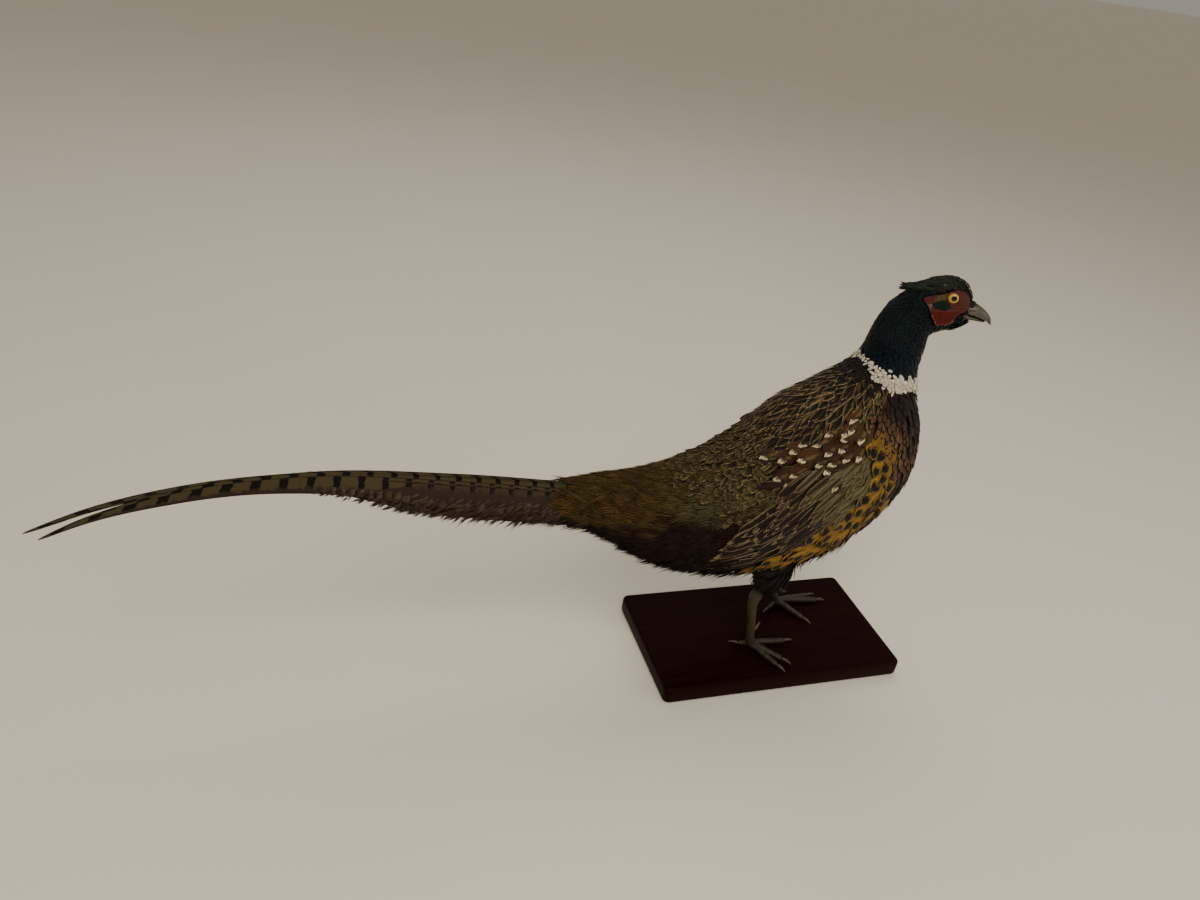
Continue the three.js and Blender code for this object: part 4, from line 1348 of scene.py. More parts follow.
def fringeFeathers():
    rng = np.random.default_rng(tailFringe["seed"])
    roots, ups, ways, shades = [], [], [], []
    places = 60
    for _, hand in hands:
        for _ in range(tailFringe["count"] // 2):
            run = tailFringe["reach"] * rng.random() ** 1.15
            pair = tail["pairs"][rng.integers(0, 6)]
            if run > pair[0] * 0.9:
                pair = tail["pairs"][0]
            points, up, way = tailLines(pair, hand, places)
            k = int((run + tail["inside"]) / (pair[0] + tail["inside"]) * places)
            side = np.cross(up[k], way[k]) * (1 if hand < 0 else -1)
            share = tailWidth(run / tail["length"])
            roots.append(points[k] + side * pair[3] * share * rng.uniform(0.35, 0.9) * mm)
            ways.append(way[k] + side * rng.uniform(0.25, 0.75))
            ups.append(up[k])
            shades.append(rng.random())
    roots, ups, ways, shade = np.array(roots), np.array(ups), unit(ways), np.array(shades)[:, None]
    joints = 4
    run = -roots[:, 0] / mm - tail["ridge"]["at"][0]
    reaches = tailFringe["length"] * (1 - 0.6 * smoothStep(0.35, 1.0, run / tailFringe["reach"]))
    step = reaches[:, None] * mm * np.arange(joints + 1) / joints
    lines = (roots[:, None] + ways[:, None] * step[:, :, None],
             np.repeat(ups[:, None], joints + 1, axis=1), np.repeat(ways[:, None], joints + 1, axis=1))
    pale, dark = (paint(code) for code in tailFringe["tones"])
    bake = np.stack((0.5 + 0.45 * roots[:, 1] / 0.03, -roots[:, 0] / 0.7), axis=1)
    growth = Growth(roots, ways, reaches * mm, tailFringe["width"] * mm,
                    pale * (1 - shade) + dark * shade, bake, rng, tailFringe["spread"])
    grow("tail_fringe", growth, shapes["hair"], {"root": -0.2, "tip": 0.3, "thick": 0.3},
         featherMaterial("fringeFeathers", {"masks": {"Ragged": 0.2}}), "tail", joints, lines)


fringeFeathers()
print("tail done")


# Legs, bill and mouth corners are solid shapes rolled from a grid.
def weld(bm):
    bmesh.ops.remove_doubles(bm, verts=bm.verts, dist=0.002 * mm)
    bmesh.ops.recalc_face_normals(bm, faces=bm.faces)


def rolled(name, rows, sides, spot):  # spot gives a point and a tone for how far along and round
    bm = bmesh.new()
    tone = bm.verts.layers.float.new("tone")
    bmesh.ops.create_grid(bm, x_segments=rows, y_segments=sides, size=0.5)
    for vert in bm.verts:
        vert.co, vert[tone] = spot(vert.co.x + 0.5, (vert.co.y + 0.5) * tau)
    weld(bm)
    smoothFaces(bm)
    return meshOf(bm, name)


class Path:  # a smooth line through points given in millimetres, with a front all the way
    def __init__(self, points, front):
        points = np.array(points, float)
        run = runAlong(points)
        self.length = run[-1]
        self.lines = [curve({"at": run, "value": column}, "value") for column in points.T]
        self.front = Vector(front)

    def at(self, share):
        run = share * self.length
        here, before, after = (Vector([line(place) for line in self.lines])
                               for place in (run, run - 0.5, run + 0.5))
        way = (after - before).normalized()
        front = (self.front - way * self.front.dot(way)).normalized()
        return here, front, way.cross(front)


# The leg's colours are darker than bare leg, for the body's shade over the legs: painted shade. Towards
# the board and in the grooves between the scales they darken further, painted shade as well.
legColours = {"dark": "#2a2119", "light": "#3c301c", "low": "#251e18", "grooveShade": "#140d07",
              "dust": "#5f523b"}
clawColours = {"pale": "#6f6049", "dark": "#241a12"}


def legMaterial():
    skin = Surface("scaledLeg")
    look = legColours
    height = skin.parts(skin.spot)[2]
    patch = skin.noise(130.0, 4.0, 0.6)
    fine = skin.noise(900.0, 4.0, 0.6)
    colour = skin.over(skin.blend(skin.step(patch, 0.35, 0.68), look["dark"], look["light"]),
                       # painted shade towards the board, then painted shade in the grooves between the
                       # scales
                       (skin.fall(height, 0.026, 0.06) * 0.75, look["low"]),
                       (skin.fall(skin.attribute("tone"), 0.44, 0.62) * 0.75, look["grooveShade"]),
                       (fine * 0.3, look["dust"]))
    return skin.finish(colour, fine * 0.25 + 0.34, (fine, 0.5, 0.12), specular=0.35)


def hornMaterial(name, colours, low, high):
    skin = Surface(name)
    streak = skin.noise(320.0, 5.0, 0.6)
    share = skin.step((streak - 0.5) * 0.5 + skin.attribute("tone"), low, high)
    colour = skin.blend(share, colours["dark"], colours["pale"])
    return skin.finish(colour, streak * 0.25 + 0.26, (streak, 0.35, 0.15),
                       under=0.05, underRadius=(0.002, 0.0015, 0.001))


# Legs and feet; all lengths are in millimetres.
legs = (
    {"name": "right", "hand": -1, "knee": (-24, -27, 114), "foot": (-25.6, -26.7), "lean": 8.6,
     "heading": -41, "toes": (("inner", (28, -25.4), 3.3), ("middle", (9, -59), 3.5),
                              ("outer", (-2.5, -68.5), 3.1), ("hind", (-45.3, -16.1), 2.6))},
    {"name": "left", "hand": 1, "knee": (0, 28, 110), "foot": (35.5, 34.2), "lean": 32,
     "heading": -8, "toes": (("inner", (61.4, -4.4), 3.3), ("middle", (98, 31), 3.5),
                             ("outer", (91, 43), 3.1), ("hind", (14.1, 21.5), 2.6))},
)
foot = {
    "standing": 19.3, "tarsus": 69.4, "claw": 11, "hem": 0.46, "spurHeight": 23,
    "spurLength": 13, "spurInward": 68, "scute": 0.32, "ring": 0.24, "rounding": 2.2,
    "shankStations": {"at": (0, 0.12, 0.28, 0.5, 0.72, 0.9, 1),
                      "wide": (3.4, 4.9, 4.1, 3.6, 3.5, 4.1, 4.4),
                      "high": (4.3, 5.8, 5.0, 4.3, 4.2, 4.6, 4.6)},
    "spurStations": {"at": (0, 0.3, 0.6, 1), "wide": (2.9, 2.1, 1.5, 0.3),
                     "high": (3.3, 2.4, 1.7, 0.3)},
    # shares of the toe's own width
    "toeStations": {"at": (0, 0.14, 0.3, 0.4, 0.52, 0.62, 0.74, 0.85, 1),
                    "wide": (1.12, 0.98, 0.84, 0.95, 0.82, 0.9, 0.76, 0.86, 0.66),
                    "high": (1.08, 0.98, 0.86, 0.98, 0.84, 0.92, 0.78, 0.86, 0.66)},
    # shares of the claw's width at its root
    "clawStations": {"at": (0, 0.25, 0.6, 0.85, 1), "wide": (0.95, 0.82, 0.5, 0.3),
                     "high": (1.1, 1, 0.66, 0.4), "tip": {"wide": 0.3, "high": 0.35}},
}
legSlots = {
    "scaled": ("shank", legMaterial()),
    "horn": ("horn", hornMaterial("clawHorn", clawColours, 0.2, 0.9)),
}


def plates(x, y):  # domed plates in staggered rows; x and y count plates
    row = np.floor(y)
    x = x + 0.5 * (row % 2)
    dx, dy = abs(x - np.floor(x) - 0.5) * 2, abs(y - row - 0.5) * 2
    far = max(dx, dy, (dx + dy) * 0.62)
    return 1 - far ** 5 * 1.6


def tarsusRelief(run, angle):
    turn = angle / tau
    fine = plates(turn * 9 + 0.3, run / 2.7)
    large = plates(turn * 5 + 0.5, run / 4.3)
    front = max(cos(angle), 0) ** 0.5
    return foot["scute"] * (large * front + fine * (1 - front) * 0.6)


def toeRelief(run, angle):
    ring = run / 2.4
    dome = 1 - abs((ring - np.floor(ring) - 0.5) * 2) ** 5 * 1.5
    top = max(cos(angle) + 0.25, 0)
    below = max(-cos(angle), 0)
    return foot["ring"] * (dome * min(top, 1) + 1.6 * below * sin(run * 0.62) ** 2)


def spurRelief(run, angle):
    return 0.08 * sin(run * 3)


def clawRelief(run, angle):
    return 0.5 * (run / 12 - 0.5) * 0.3


# A round piece along a path, rounded off at both ends, in place of one node.
def limb(node, finish, path, stations, rows, sides, relief):
    wide, high = curves(stations, "wide", "high")

    def spot(along, angle):
        here, front, side = path.at(along)
        lump = relief(along * path.length, angle)
        close = min(along, 1 - along) * path.length / foot["rounding"]
        end = min(1, close * (2 - close)) ** 0.5 if close < 1 else 1
        out = front * (high(along) + lump) * cos(angle) + side * (wide(along) + lump) * sin(angle)
        return (here + out * end) * mm, 0.5 + lump
    name = f"{node}_{finish}"
    slotName, material = legSlots[finish]
    place(name, rolled(name, rows, sides, spot), material, slotName, node)


def shankPieces(leg):
    x, y = leg["foot"]
    stand, lean, tall = foot["standing"], leg["lean"], foot["tarsus"]
    heading = radians(leg["heading"])
    ankle = Vector((x - lean, y, stand + (tall ** 2 - lean ** 2) ** 0.5))
    shin = ankle.lerp(Vector(leg["knee"]), foot["hem"])
    ball = Vector((x, y, stand + 5.2))
    middle = ankle.lerp(ball, 0.5) + Vector((-0.8, 0, 0))
    path = Path((shin, ankle, middle, ball), (cos(heading), sin(heading), 0))
    limb("tarsus_" + leg["name"], "scaled", path, foot["shankStations"], 190, 44, tarsusRelief)
    inward = heading - leg["hand"] * radians(foot["spurInward"])
    root = Vector((x - 1.6, y, stand + foot["spurHeight"]))
    reach = Vector((cos(inward), sin(inward), 0))
    long = foot["spurLength"]
    path = Path((root + reach, root + reach * long * 0.6 + Vector((0, 0, 0.6)),
                 root + reach * long + Vector((0, 0, 6))), (0, 0, 1))
    limb("spur_" + leg["name"], "horn", path, foot["spurStations"], 24, 20, spurRelief)


def toePieces(leg, name, tip, width):
    x, y = leg["foot"]
    stand = foot["standing"]
    way = Vector((tip[0] - x, tip[1] - y, 0))
    span = way.length
    way.normalize()
    end = span - foot["claw"]

    def along(run, height):
        return Vector((x, y, height)) + way * run
    path = Path((along(0, stand + 4.6), along(end * 0.28, stand + width + 2.2),
                 along(end * 0.5, stand + width + 1.1), along(end, stand + width * 0.72)), (0, 0, 1))
    look = foot["toeStations"]
    stations = {"at": look["at"]}
    for key in ("wide", "high"):
        stations[key] = [width * share for share in look[key]]
    limb(f"toe_{leg['name']}_{name}", "scaled", path, stations, int(end * 2.6), 28, toeRelief)
    base = width * 0.56
    path = Path((along(end - 0.9, stand + width * 0.74), along(end + 3.4, stand + width * 0.9),
                 along(end + 7.6, stand + base + 0.2), along(span, stand + 0.5)), (0, 0, 1))
    look = foot["clawStations"]
    stations = {"at": look["at"]}
    for key in ("wide", "high"):
        stations[key] = [base * share for share in look[key]] + [look["tip"][key]]
    limb(f"claw_{leg['name']}_{name}", "horn", path, stations, 24, 16, clawRelief)


for leg in legs:
    shankPieces(leg)
    for toe in leg["toes"]:
        toePieces(leg, *toe)
print("legs done")

# The bill, in the head's own frame.
bill = {
    "upper": {"at": (0, 0.14, 0.28, 0.5, 0.72, 0.86, 0.95, 1),
              "x": (36.5, 40.2, 43.8, 49, 54.5, 58.2, 60.6, 61.6),
              "top": (33.6, 33.6, 33.0, 31, 28, 25, 21.6, 18.6),
              "bottom": (23.4, 23.2, 23, 22.4, 20.8, 19.2, 17.4, 16.6),
              "side": (7.6, 7.5, 7.2, 6.2, 4.7, 3.3, 1.9, 0.6)},
    "lower": {"at": (0, 0.2, 0.4, 0.75, 0.93, 1),
              "x": (36, 41, 45.5, 52, 55.6, 56.6),
              "top": (22.8, 22.7, 22.3, 21.1, 19.9, 19.4),
              "bottom": (16.8, 17.3, 17.9, 18.1, 18.4, 18.9),
              "side": (6.7, 6.6, 6, 4.2, 2.3, 0.9)},
    "nostril": (43.2, 27.6), "cover": (42.6, 29.4),
    "colours": {"pale": "#6e6753", "dark": "#1f1810"},
}


def billUpper():
    lines = curves(bill["upper"], "x", "top", "bottom", "side")
    nx, nz = bill["nostril"]
    cx, cz = bill["cover"]

    def spot(along, angle):
        x, top, bottom, side = (float(line(along)) for line in lines)
        if along > 0.98:
            side *= 0.3
        across, rise = sin(angle), cos(angle)
        hand = 1 if across > 0 else -1
        across = abs(across)
        if rise > 0:
            z = bottom + 1.1 + (top - bottom - 1.1) * rise ** 0.86
        else:  # the cutting edge turns down round a hollow palate
            z = bottom + 1.1 + 1.1 * rise * (1 if across > 0.75 else -0.8)
        onSide = smoothStep(0.35, 0.8, across)
        lid = np.exp(-((x - cx) / 2.6) ** 2 - ((z - cz) / 1.15) ** 2) * onSide
        slit = np.exp(-((x - nx) / 2.0) ** 2 - ((z - nz) / 0.5) ** 2) * onSide
        y = hand * (side * across ** 0.9 + 0.75 * lid - 0.9 * slit)
        # the nostril's raised cover is painted paler, a painted highlight, and the nostril slit darker,
        # painted shade
        tone = 0.58 + 0.5 * lid - 0.9 * slit - 0.3 * smoothStep(0.9, 1, rise)
        return onHead(x, y, z), float(tone - 0.25 * smoothStep(0.75, 1, along))
    return rolled("bill_upper", 110, 72, spot)


def billLower():
    lines = curves(bill["lower"], "x", "top", "bottom", "side")

    def spot(along, angle):
        x, top, bottom, side = (float(line(along)) for line in lines)
        close = min(1, (1 - along) * 12) ** 0.5
        y = side * sin(angle) * close
        z = (top + bottom) / 2 + (top - bottom) / 2 * cos(angle) * close
        return onHead(x, y, z), 0.42 + 0.1 * cos(angle) - 0.1 * along
    return rolled("bill_lower", 60, 40, spot)


def gapeFlange(hand):  # the fleshy corner of the mouth
    def spot(along, angle):
        x = 32.8 + 8.5 * along
        y = 10.6 - 3.6 * along + 0.35 * sin(along * pi)
        z = 20.2 + 2.5 * along ** 0.8
        size = 0.75 * sin(pi * min(0.06 + along * 0.94, 1)) ** 0.5
        return onHead(x, hand * (y + size * 0.8 * sin(angle)), z + size * cos(angle)), 0.55
    return rolled("gape", 26, 14, spot)


billHorn = hornMaterial("billHorn", bill["colours"], 0.15, 0.95)
place("bill_upper", billUpper(), billHorn, "horn", "upper_bill")
place("bill_lower", billLower(), billHorn, "horn", "lower_bill")
for name, hand in hands:
    place(f"gape_{name}", gapeFlange(hand), billHorn, "horn")
print("bill done")

# The bare red face, the eyes and the short feathers round them, in the head's own frame.
faceDetail = {
    "rings": 54, "sides": 168, "thick": 0.9,
    "tints": {"red": "#520c07", "pink": "#4d2019", "pale": "#93705f", "yellow": "#57492a",
              "dark": "#1a0706"},
    "lobeEdge": ((3, 29), (6, 25.4), (9.8, 20.8), (13.6, 15), (17.6, 9.6), (19.2, 9), (22.6, 11.2),
                 (25.6, 11.2), (28.6, 13.4), (30.2, 16.6)),
    "patch": ((11.4, 28), (14.6, 31.4), (18.6, 33.2), (22.4, 31.4), (25.4, 27.2), (19.4, 26.6),
              (14.8, 26.8)),
}


def nearLine(points, x, z):  # how far a place lies from a line of points
    best = 99.0
    for (ax, az), (bx, bz) in zip(points, points[1:]):
        dx, dz = bx - ax, bz - az
        f = min(max(((x - ax) * dx + (z - az) * dz) / (dx * dx + dz * dz), 0), 1)
        best = min(best, ((x - ax - f * dx) ** 2 + (z - az - f * dz) ** 2) ** 0.5)
    return best


def insideShape(points, x, z):
    inside = False
    for (ax, az), (bx, bz) in zip(points, points[1:] + points[:1]):
        if (az > z) != (bz > z) and x < (bx - ax) * (z - az) / (bz - az) + ax:
            inside = not inside
    return inside


def faceSurface(hand):  # how far out the head's side lies, with the eye's hollow bridged
    ex, _, ez = face["eye"]
    lid = face["lid"]
    inward = headWay(0, -hand, 0)

    def side(x, z):
        hit = outerTree.ray_cast(onHead(x, hand * 60, z), inward)[0]
        return abs(float(headLocal([hit])[0][1])) if hit else 8.0

    def at(x, z):
        dx, dz = x - ex, z - ez
        far = (dx * dx + dz * dz) ** 0.5
        if far > lid["to"]:
            return side(x, z)
        rim = side(ex + dx / far * lid["to"], ez + dz / far * lid["to"])
        share = smoothStep(lid["from"], lid["to"], far)
        return lid["out"] * (1 - share) + rim * share
    return at


def faceMesh(hand):
    look = faceDetail
    ex, _, ez = face["eye"]
    opening = face["eyeOpening"]
    surface = faceSurface(hand)
    reachAt = reachAround((ex, ez))
    tints = {key: paint(code) for key, code in look["tints"].items()}
    bm = bmesh.new()
    colour = bm.verts.layers.float_color.new("ground")
    bmesh.ops.create_grid(bm, x_segments=look["rings"], y_segments=look["sides"], size=0.5)

    def tinted(shade, name, share):
        return shade + (tints[name] - shade) * share
    for vert in bm.verts:
        share, angle = vert.co.x + 0.5, (vert.co.y + 0.5) * tau
        wrapped = (angle + pi) % tau - pi
        reach = float(reachAt(wrapped)) + 0.35 * sin(angle * 23) * (cos(angle * 9) > -0.3)
        far = opening + (reach - opening) * share
        x, z = ex + far * cos(angle), ez + far * sin(angle)
        y = surface(x, z)
        lobe = smoothStep(24.8, 22.8, z - 0.2 * (x - 14)) * smoothStep(5, 9, x)
        lobe *= 0.35 + 0.65 * smoothStep(33, 29, x)
        edge = nearLine(look["lobeEdge"], x + 0.45 * sin(z * 2.3), z + 0.45 * sin(x * 1.9))
        rim = np.exp(-(edge / 0.6) ** 2) * smoothStep(29, 25, z)
        lid = np.exp(-((far - opening - 0.9) / 0.75) ** 2)
        cell = noiseLib.voronoi(Vector((x, z, hand * 3)) / 1.15)[0][0]
        bead = max(0, 1 - (cell / 0.62) ** 2) * (1 - lid)
        fold = sin(z * 2.4 + 1.3 * sin(x * 0.5)) * smoothStep(0.2, 0.5, share) * (1 - lobe)
        height = 0.25 + 0.85 * lobe + 0.55 * rim + 0.75 * lid + 0.34 * bead + 0.12 * fold
        height -= 2.2 * smoothStep(0.93, 1.0, share)
        if share < 0.01:  # the hem dips in behind the eye's opening
            height -= 1.3
            x, z = ex + (far - 0.25) * cos(angle), ez + (far - 0.25) * sin(angle)
        patch = insideShape(look["patch"], x, z)
        height -= 0.5 * patch
        strip = smoothStep(3.2, 1.8, abs(z - 35.4 - 0.45 * (x - 15))) * smoothStep(21, 18, x)
        pale = max(rim, smoothStep(2.4, 1.0, np.hypot(x - 8.4, z - 26.6)) * 0.8)
        shade = tinted(tints["pink"], "red", lobe)
        shade = tinted(shade, "yellow", strip * smoothStep(8, 14, x) * 0.8)
        # each bead's dome is painted lighter and the skin between the beads darker: painted highlight
        # and painted shade on the bumps; the eyelid's ring is a little lighter too
        shade = tinted(shade, "pale", pale * 0.85) * (0.72 + 0.5 * bead + 0.2 * lid)
        vert[colour] = (*np.clip(tinted(shade, "dark", 0.7 * patch), 0, 1), 1)
        vert.co = onHead(x, hand * (y + height), z)
    weld(bm)
    outward = headWay(0, hand, 0)
    if sum(piece.normal.dot(outward) for piece in bm.faces) < 0:
        bmesh.ops.reverse_faces(bm, faces=bm.faces)
    bm.normal_update()
    bmesh.ops.solidify(bm, geom=bm.faces[:], thickness=look["thick"] * mm)
    smoothFaces(bm)
    return meshOf(bm, "faceSkin")


def faceMaterial():
    skin = Surface("redFaceSkin")
    fine = skin.noise(900.0, 4.0, 0.6)
    light = (fine * 0.5 + 0.75) * (skin.noise(160.0, 3.0, 0.6) * 0.6 + 0.7)
    return skin.finish(skin.dimmed(skin.attribute("ground", "Color"), light), fine * 0.2 + 0.45,
                       (fine, 0.4, 0.12), specular=0.22, under=0.05,
                       underRadius=(0.0025, 0.001, 0.0006))


eyeColours = {"inner": "#d8b558", "outer": "#a8701f", "spokes": "#6b4514", "rim": "#1c0f06",
              "pupil": "#050302"}


def eyeMaterial():
    skin = Surface("glassEye")
    look = eyeColours
    across, high, _ = skin.layer("sight")
    far = skin.maths("SQRT", across ** 2.0 + high ** 2.0)
    colour = skin.over(skin.blend(skin.step(far, 0.52, 0.8), look["inner"], look["outer"]),
                       (skin.noise(900.0, 3.0) * 0.3, look["spokes"]),
                       (skin.step(far, 0.8, 0.86), look["rim"]),
                       (skin.fall(far, 0.40, 0.44), look["pupil"]))
    return skin.finish(colour, 0.3, specular=0.1, coat=0.6, coatRough=0.02)


def eyePiece(name, hand, material):
    bm = bmesh.new()
    radius = face["eyeRadius"] * mm
    bmesh.ops.create_uvsphere(bm, u_segments=48, v_segments=24, radius=radius)
    smoothFaces(bm)
    sight = bm.loops.layers.uv.new("sight")
    for piece in bm.faces:
        for loop in piece.loops:
            x, y, z = loop.vert.co / radius
            loop[sight].uv = (x, y) if z > 0 else (1.2, 1.2)
    look = Vector((0.16, hand, 0.05)).normalized()
    turn = look.to_track_quat("Z", "Y").to_matrix().to_4x4()
    x, y, z = face["eye"]
    seat = headMatrix @ Matrix.Translation(Vector((x, hand * y, z)) * mm)
    bmesh.ops.transform(bm, matrix=seat @ turn, verts=bm.verts)
    place(name, meshOf(bm, name), material, "eye", name.replace("_glass", ""))


# Each pair holds a root, a tip and the way out of the skin; the feathers are raised between them.
def shortFeathers(name, pairs, colours, look, slotName):
    roots, tips, outs = (np.array(column) for column in zip(*pairs))
    joints = 5
    share = np.linspace(0, 1, joints + 1)[None, :, None]
    points = roots[:, None] * (1 - share) + tips[:, None] * share
    points = points + outs[:, None] * np.sin(share * pi) * look["bulge"] * mm
    ways = unit(np.gradient(points, axis=1))
    ups = unit(outs[:, None] - ways * (ways * outs[:, None]).sum(axis=2, keepdims=True))
    growth = Growth(roots, ways[:, 0], np.linalg.norm(tips - roots, axis=1), look["width"] * mm,
                    colours, headBake(headLocal(roots)), np.random.default_rng(look["seed"]),
                    look["spread"])
    finish = dict(headLook["finish"], **look.get("finish", {}))
    grow(name, growth, shapes[look["kind"]], look["lay"], featherMaterial(name + "Look", finish),
         slotName, joints, (points, ups, ways))


facePatch = {"count": 150, "kind": "small", "width": 1.5, "seed": 63, "bulge": 0.2,
             "spread": {"size": 0.2, "turn": 8, "rise": 0.1},
             "lay": {"root": 0.0, "tip": 0.2, "thick": 0.1}}


def patchPairs(hand, rng):  # small dark feathers behind and below the eye
    surface = faceSurface(hand)
    pairs = []
    xs, zs = zip(*faceDetail["patch"])
    out = headWay(0, hand, 0)
    while len(pairs) < facePatch["count"]:
        x, z = rng.uniform(min(xs), max(xs)), rng.uniform(min(zs), max(zs))
        if insideShape(faceDetail["patch"], x, z):
            root = onHead(x, hand * (surface(x, z) - 0.2), z)
            tx, tz = x - 3.4, z - 1.3 + rng.uniform(-0.5, 0.5)
            pairs.append((root, onHead(tx, hand * (surface(tx, tz) + 0.75), tz), out))
    return pairs


def headDetails():
    material, glass = faceMaterial(), eyeMaterial()
    rng = np.random.default_rng(62)
    pairs = []
    for name, hand in hands:
        place(f"face_skin_{name}", faceMesh(hand), material, "red_skin", f"wattle_{name}")
        eyePiece(f"eye_{name}_glass", hand, glass)
        pairs += patchPairs(hand, rng)
    colours = mixed("deepGreen", "crown", rng.random(len(pairs)) * 0.6)
    shortFeathers("face_patch_feathers", pairs, colours, facePatch, "crown")


earTuft = {"count": 58, "kind": "pointed", "width": 3.0, "seed": 61, "bulge": 0.6,
           "spread": {"size": 0.2, "turn": 3, "rise": 0.15},
           "lay": {"root": -0.9, "tip": 0.2, "thick": 0.25},
           "tip": {"right": (-24, 10.6, 35.4), "left": (-13, 9.5, 31)}}


def earTufts():  # a wedge of feathers from the crown's side back to a point
    rng = np.random.default_rng(earTuft["seed"])
    pairs = []
    for name, hand in hands:
        out = headWay(0, hand, 0.35).normalized()
        tx, ty, tz = earTuft["tip"][name]
        for number in range(earTuft["count"]):
            share = (number + rng.random()) / earTuft["count"]
            low, roof = 37.5 - 3.5 * share, 46.5 - 3 * share
            high = rng.random()
            start = onHead(14 - 20 * share, hand * (10 - 3 * high), low + (roof - low) * high)
            hit = outerTree.find_nearest(start)[0]
            way = onHead(tx, hand * ty, tz + rng.uniform(-0.9, 0.9)) - hit
            reach = (13 + 5 * rng.random()) * mm
            pairs.append((hit, hit + way * min(1, reach / way.length + 0.35 * share), out))
    colours = mixed("crown", "deepGreen", rng.random(len(pairs)) * 0.6) * 0.8
    shortFeathers("ear_tuft_feathers", pairs, colours, earTuft, "ear_tuft")


forehead = {"count": 150, "chin": 210, "kind": "small", "width": 1.5, "seed": 64, "bulge": 0.35,
            "spread": {"size": 0.2, "turn": 8, "rise": 0.08},
            "lay": {"root": -0.3, "tip": 0.15, "thick": 0.12},
            "finish": {"metallic": 0.2, "roughness": 0.6}}


def foreheadFeathers():  # short feathers that run forward over the root of the bill
    rng = np.random.default_rng(forehead["seed"])
    pairs = []
    for _ in range(forehead["count"]):
        angle = rng.uniform(-1.1, 1.1)
        start = 40 - rng.uniform(0, 4)
        reach = rng.uniform(2.6, 4.6) * (1.25 - 0.45 * abs(angle))
        ends = []
        for x, lift in ((start, 0.25), (start + reach, 0.35)):
            share = (x - 36) / 8
            high, side = 34.2 - 1.2 * share + lift, 7.9 - 0.5 * share + lift
            ends.append(onHead(x, side * sin(angle), 28 + (high - 28) * cos(angle)))
        pairs.append((*ends, headWay(0.2, sin(angle), cos(angle)).normalized()))
    for _ in range(forehead["chin"]):  # and under the lower bill
        x = rng.uniform(26, 39)
        root = outerTree.find_nearest(onHead(x, rng.uniform(-6, 6), 6 + 0.75 * (x - 26)))[0]
        tip = root + headWay(1, 0, 0.3) * rng.uniform(3.6, 5.2) * mm
        pairs.append((root, tip, headWay(0, 0, -1)))
    colours = mixed("crown", "black", rng.random(len(pairs)))
    shortFeathers("forehead_feathers", pairs, colours, forehead, "crown")


headDetails()
earTufts()
foreheadFeathers()
for name, _ in hands:
    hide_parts(f"ear_tuft_{name}")
print("head done")

plinth = {"size": (270, 146, 19), "corner": 7, "rounding": 4,
          "colours": {"dark": "#130301", "light": "#200a04", "cloud": "#230905", "pore": "#0e0403"}}


def plinthMaterial():
    skin = Surface("darkMahogany")
    look = plinth["colours"]
    grain = skin.noise(3.0, 6.0, 0.65, skin.stretched(5.0, 60.0, 60.0))
    pores = skin.noise(1.0, 3.0, 0.6, skin.stretched(60.0, 900.0, 900.0))
    pore = skin.step(pores, 0.6, 0.72)
    colour = skin.over(skin.blend(skin.step(grain, 0.3, 0.72), look["dark"], look["light"]),
                       (skin.noise(9.0, 2.0) * 0.5, look["cloud"]), (pore * 0.55, look["pore"]))
    return skin.finish(colour, grain * 0.15 + 0.36, (grain - pore, 0.2, 0.1), specular=0.04,
                       coat=0.02, coatRough=0.12)


def plinthPiece():
    bm = bmesh.new()
    bmesh.ops.create_cube(bm, size=1)
    length, width, thick = plinth["size"]
    for vert in bm.verts:
        vert.co = Vector((vert.co.x * length, vert.co.y * width, (vert.co.z + 0.5) * thick)) * mm

    def rise(edge):
        return abs(edge.verts[0].co.z - edge.verts[1].co.z)
    upright = [edge for edge in bm.edges if rise(edge) > mm]
    bmesh.ops.bevel(bm, geom=upright, offset=plinth["corner"] * mm, affect="EDGES", segments=8,
                    profile=0.5, material=-1)
    level = [edge for edge in bm.edges if rise(edge) < 0.01 * mm]
    bmesh.ops.bevel(bm, geom=level, offset=plinth["rounding"] * mm, affect="EDGES", segments=6,
                    profile=0.5, material=-1)
    for piece in bm.faces:
        piece.smooth = len(piece.verts) <= 4 and piece.calc_area() < 0.9 * thick * mm * length * mm
    place("plinth_board", meshOf(bm, "plinth_board"), plinthMaterial(), "plinth", "plinth")


plinthPiece()
print("plinth done")


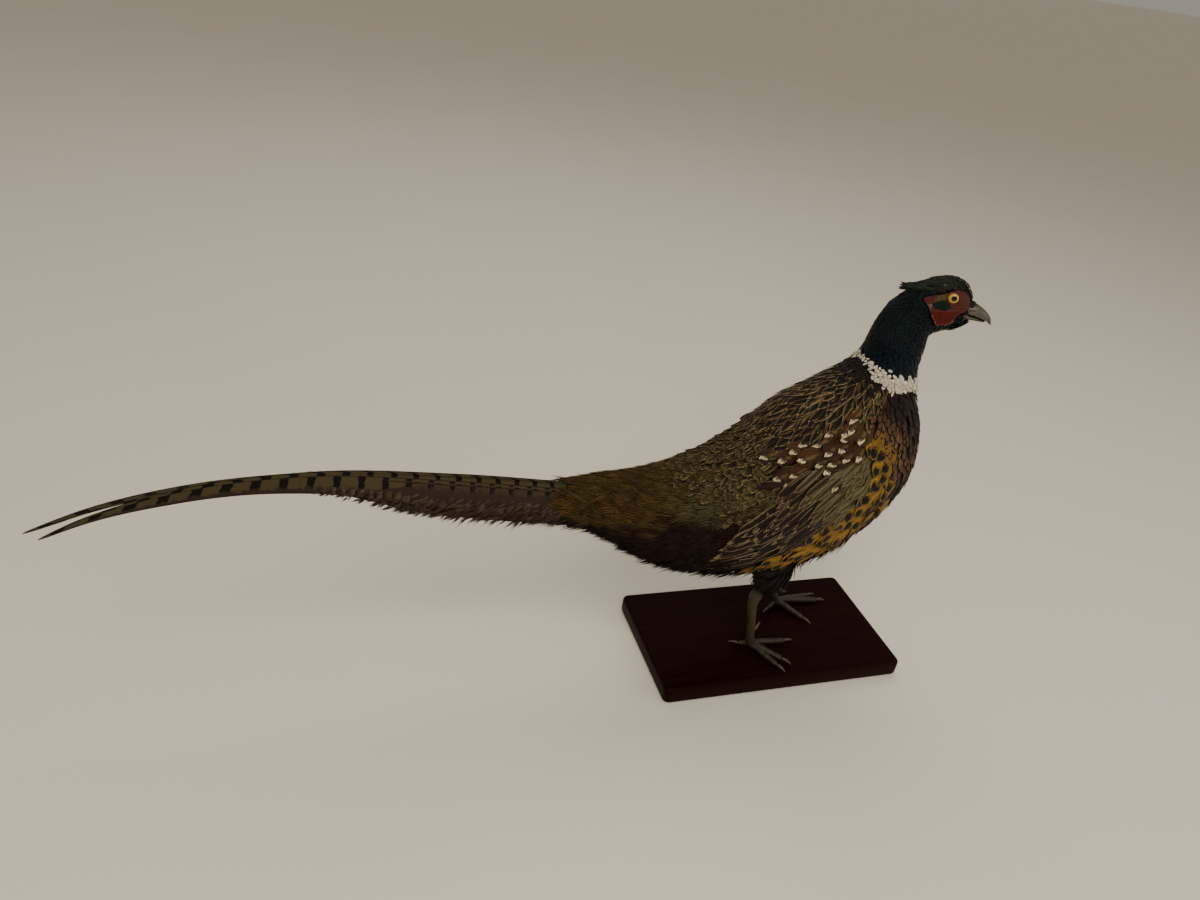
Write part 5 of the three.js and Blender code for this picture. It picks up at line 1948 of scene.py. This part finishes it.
surroundings = {"floorSize": 120, "floor": ("#f0e7d6", "#f4ecdc"), "sky": "#e6dfd0",
                "skyPower": 0.4, "aim": (-0.1, 0, 0.2)}  # the lights look at this place


def stageFloor():
    bm = bmesh.new()
    bmesh.ops.create_grid(bm, x_segments=1, y_segments=1, size=surroundings["floorSize"])
    floor = addObject("floor", meshOf(bm, "floor"))
    skin = Surface("paleFloor")
    shade = skin.blend(skin.noise(3.0, 2.0), *surroundings["floor"])
    floor.data.materials.append(skin.finish(shade, 0.85))


stageFloor()
lights = (
    {"name": "key", "at": (-0.55, -1.3, 1.75), "size": 1.1, "power": 23, "colour": (1, 0.94, 0.85)},
    {"name": "fill", "at": (1.4, -1.0, 0.9), "size": 1.4, "power": 6, "colour": (0.97, 0.97, 1)},
    {"name": "rear", "at": (0.1, 1.2, 2.4), "size": 1.4, "power": 13, "colour": (1, 0.96, 0.9)},
)
for lamp in lights:
    light = bpy.data.lights.new(lamp["name"], "AREA")
    light.size = lamp["size"]
    light.energy = lamp["power"]
    light.color = lamp["colour"]
    holder = addObject(lamp["name"], light)
    holder.location = lamp["at"]
    aim = Vector(surroundings["aim"]) - holder.location
    holder.rotation_euler = aim.to_track_quat("-Z", "Y").to_euler()
world = bpy.data.worlds.new("studio")
world.use_nodes = True
sky = world.node_tree.nodes["Background"].inputs
sky["Color"].default_value = linear(surroundings["sky"])
sky["Strength"].default_value = surroundings["skyPower"]
bpy.context.scene.world = world

view = {
    "place": (-0.45857, -0.64380, 0.65439),
    "right": (0.95125, -0.27911, 0.13121),
    "up": (0.03438, 0.51874, 0.85424),
    "back": (-0.30649, -0.80809, 0.50305),
    "lens": 27.03, "sensor": 36, "near": 0.01,
}
camera = bpy.data.cameras.new("camera")
camera.lens = view["lens"]
camera.sensor_width = view["sensor"]
camera.clip_start = view["near"]
holder = addObject("camera", camera)
turned = Matrix((view["right"], view["up"], view["back"])).transposed().to_4x4()
holder.matrix_world = Matrix.Translation(view["place"]) @ turned
bpy.context.scene.camera = holder
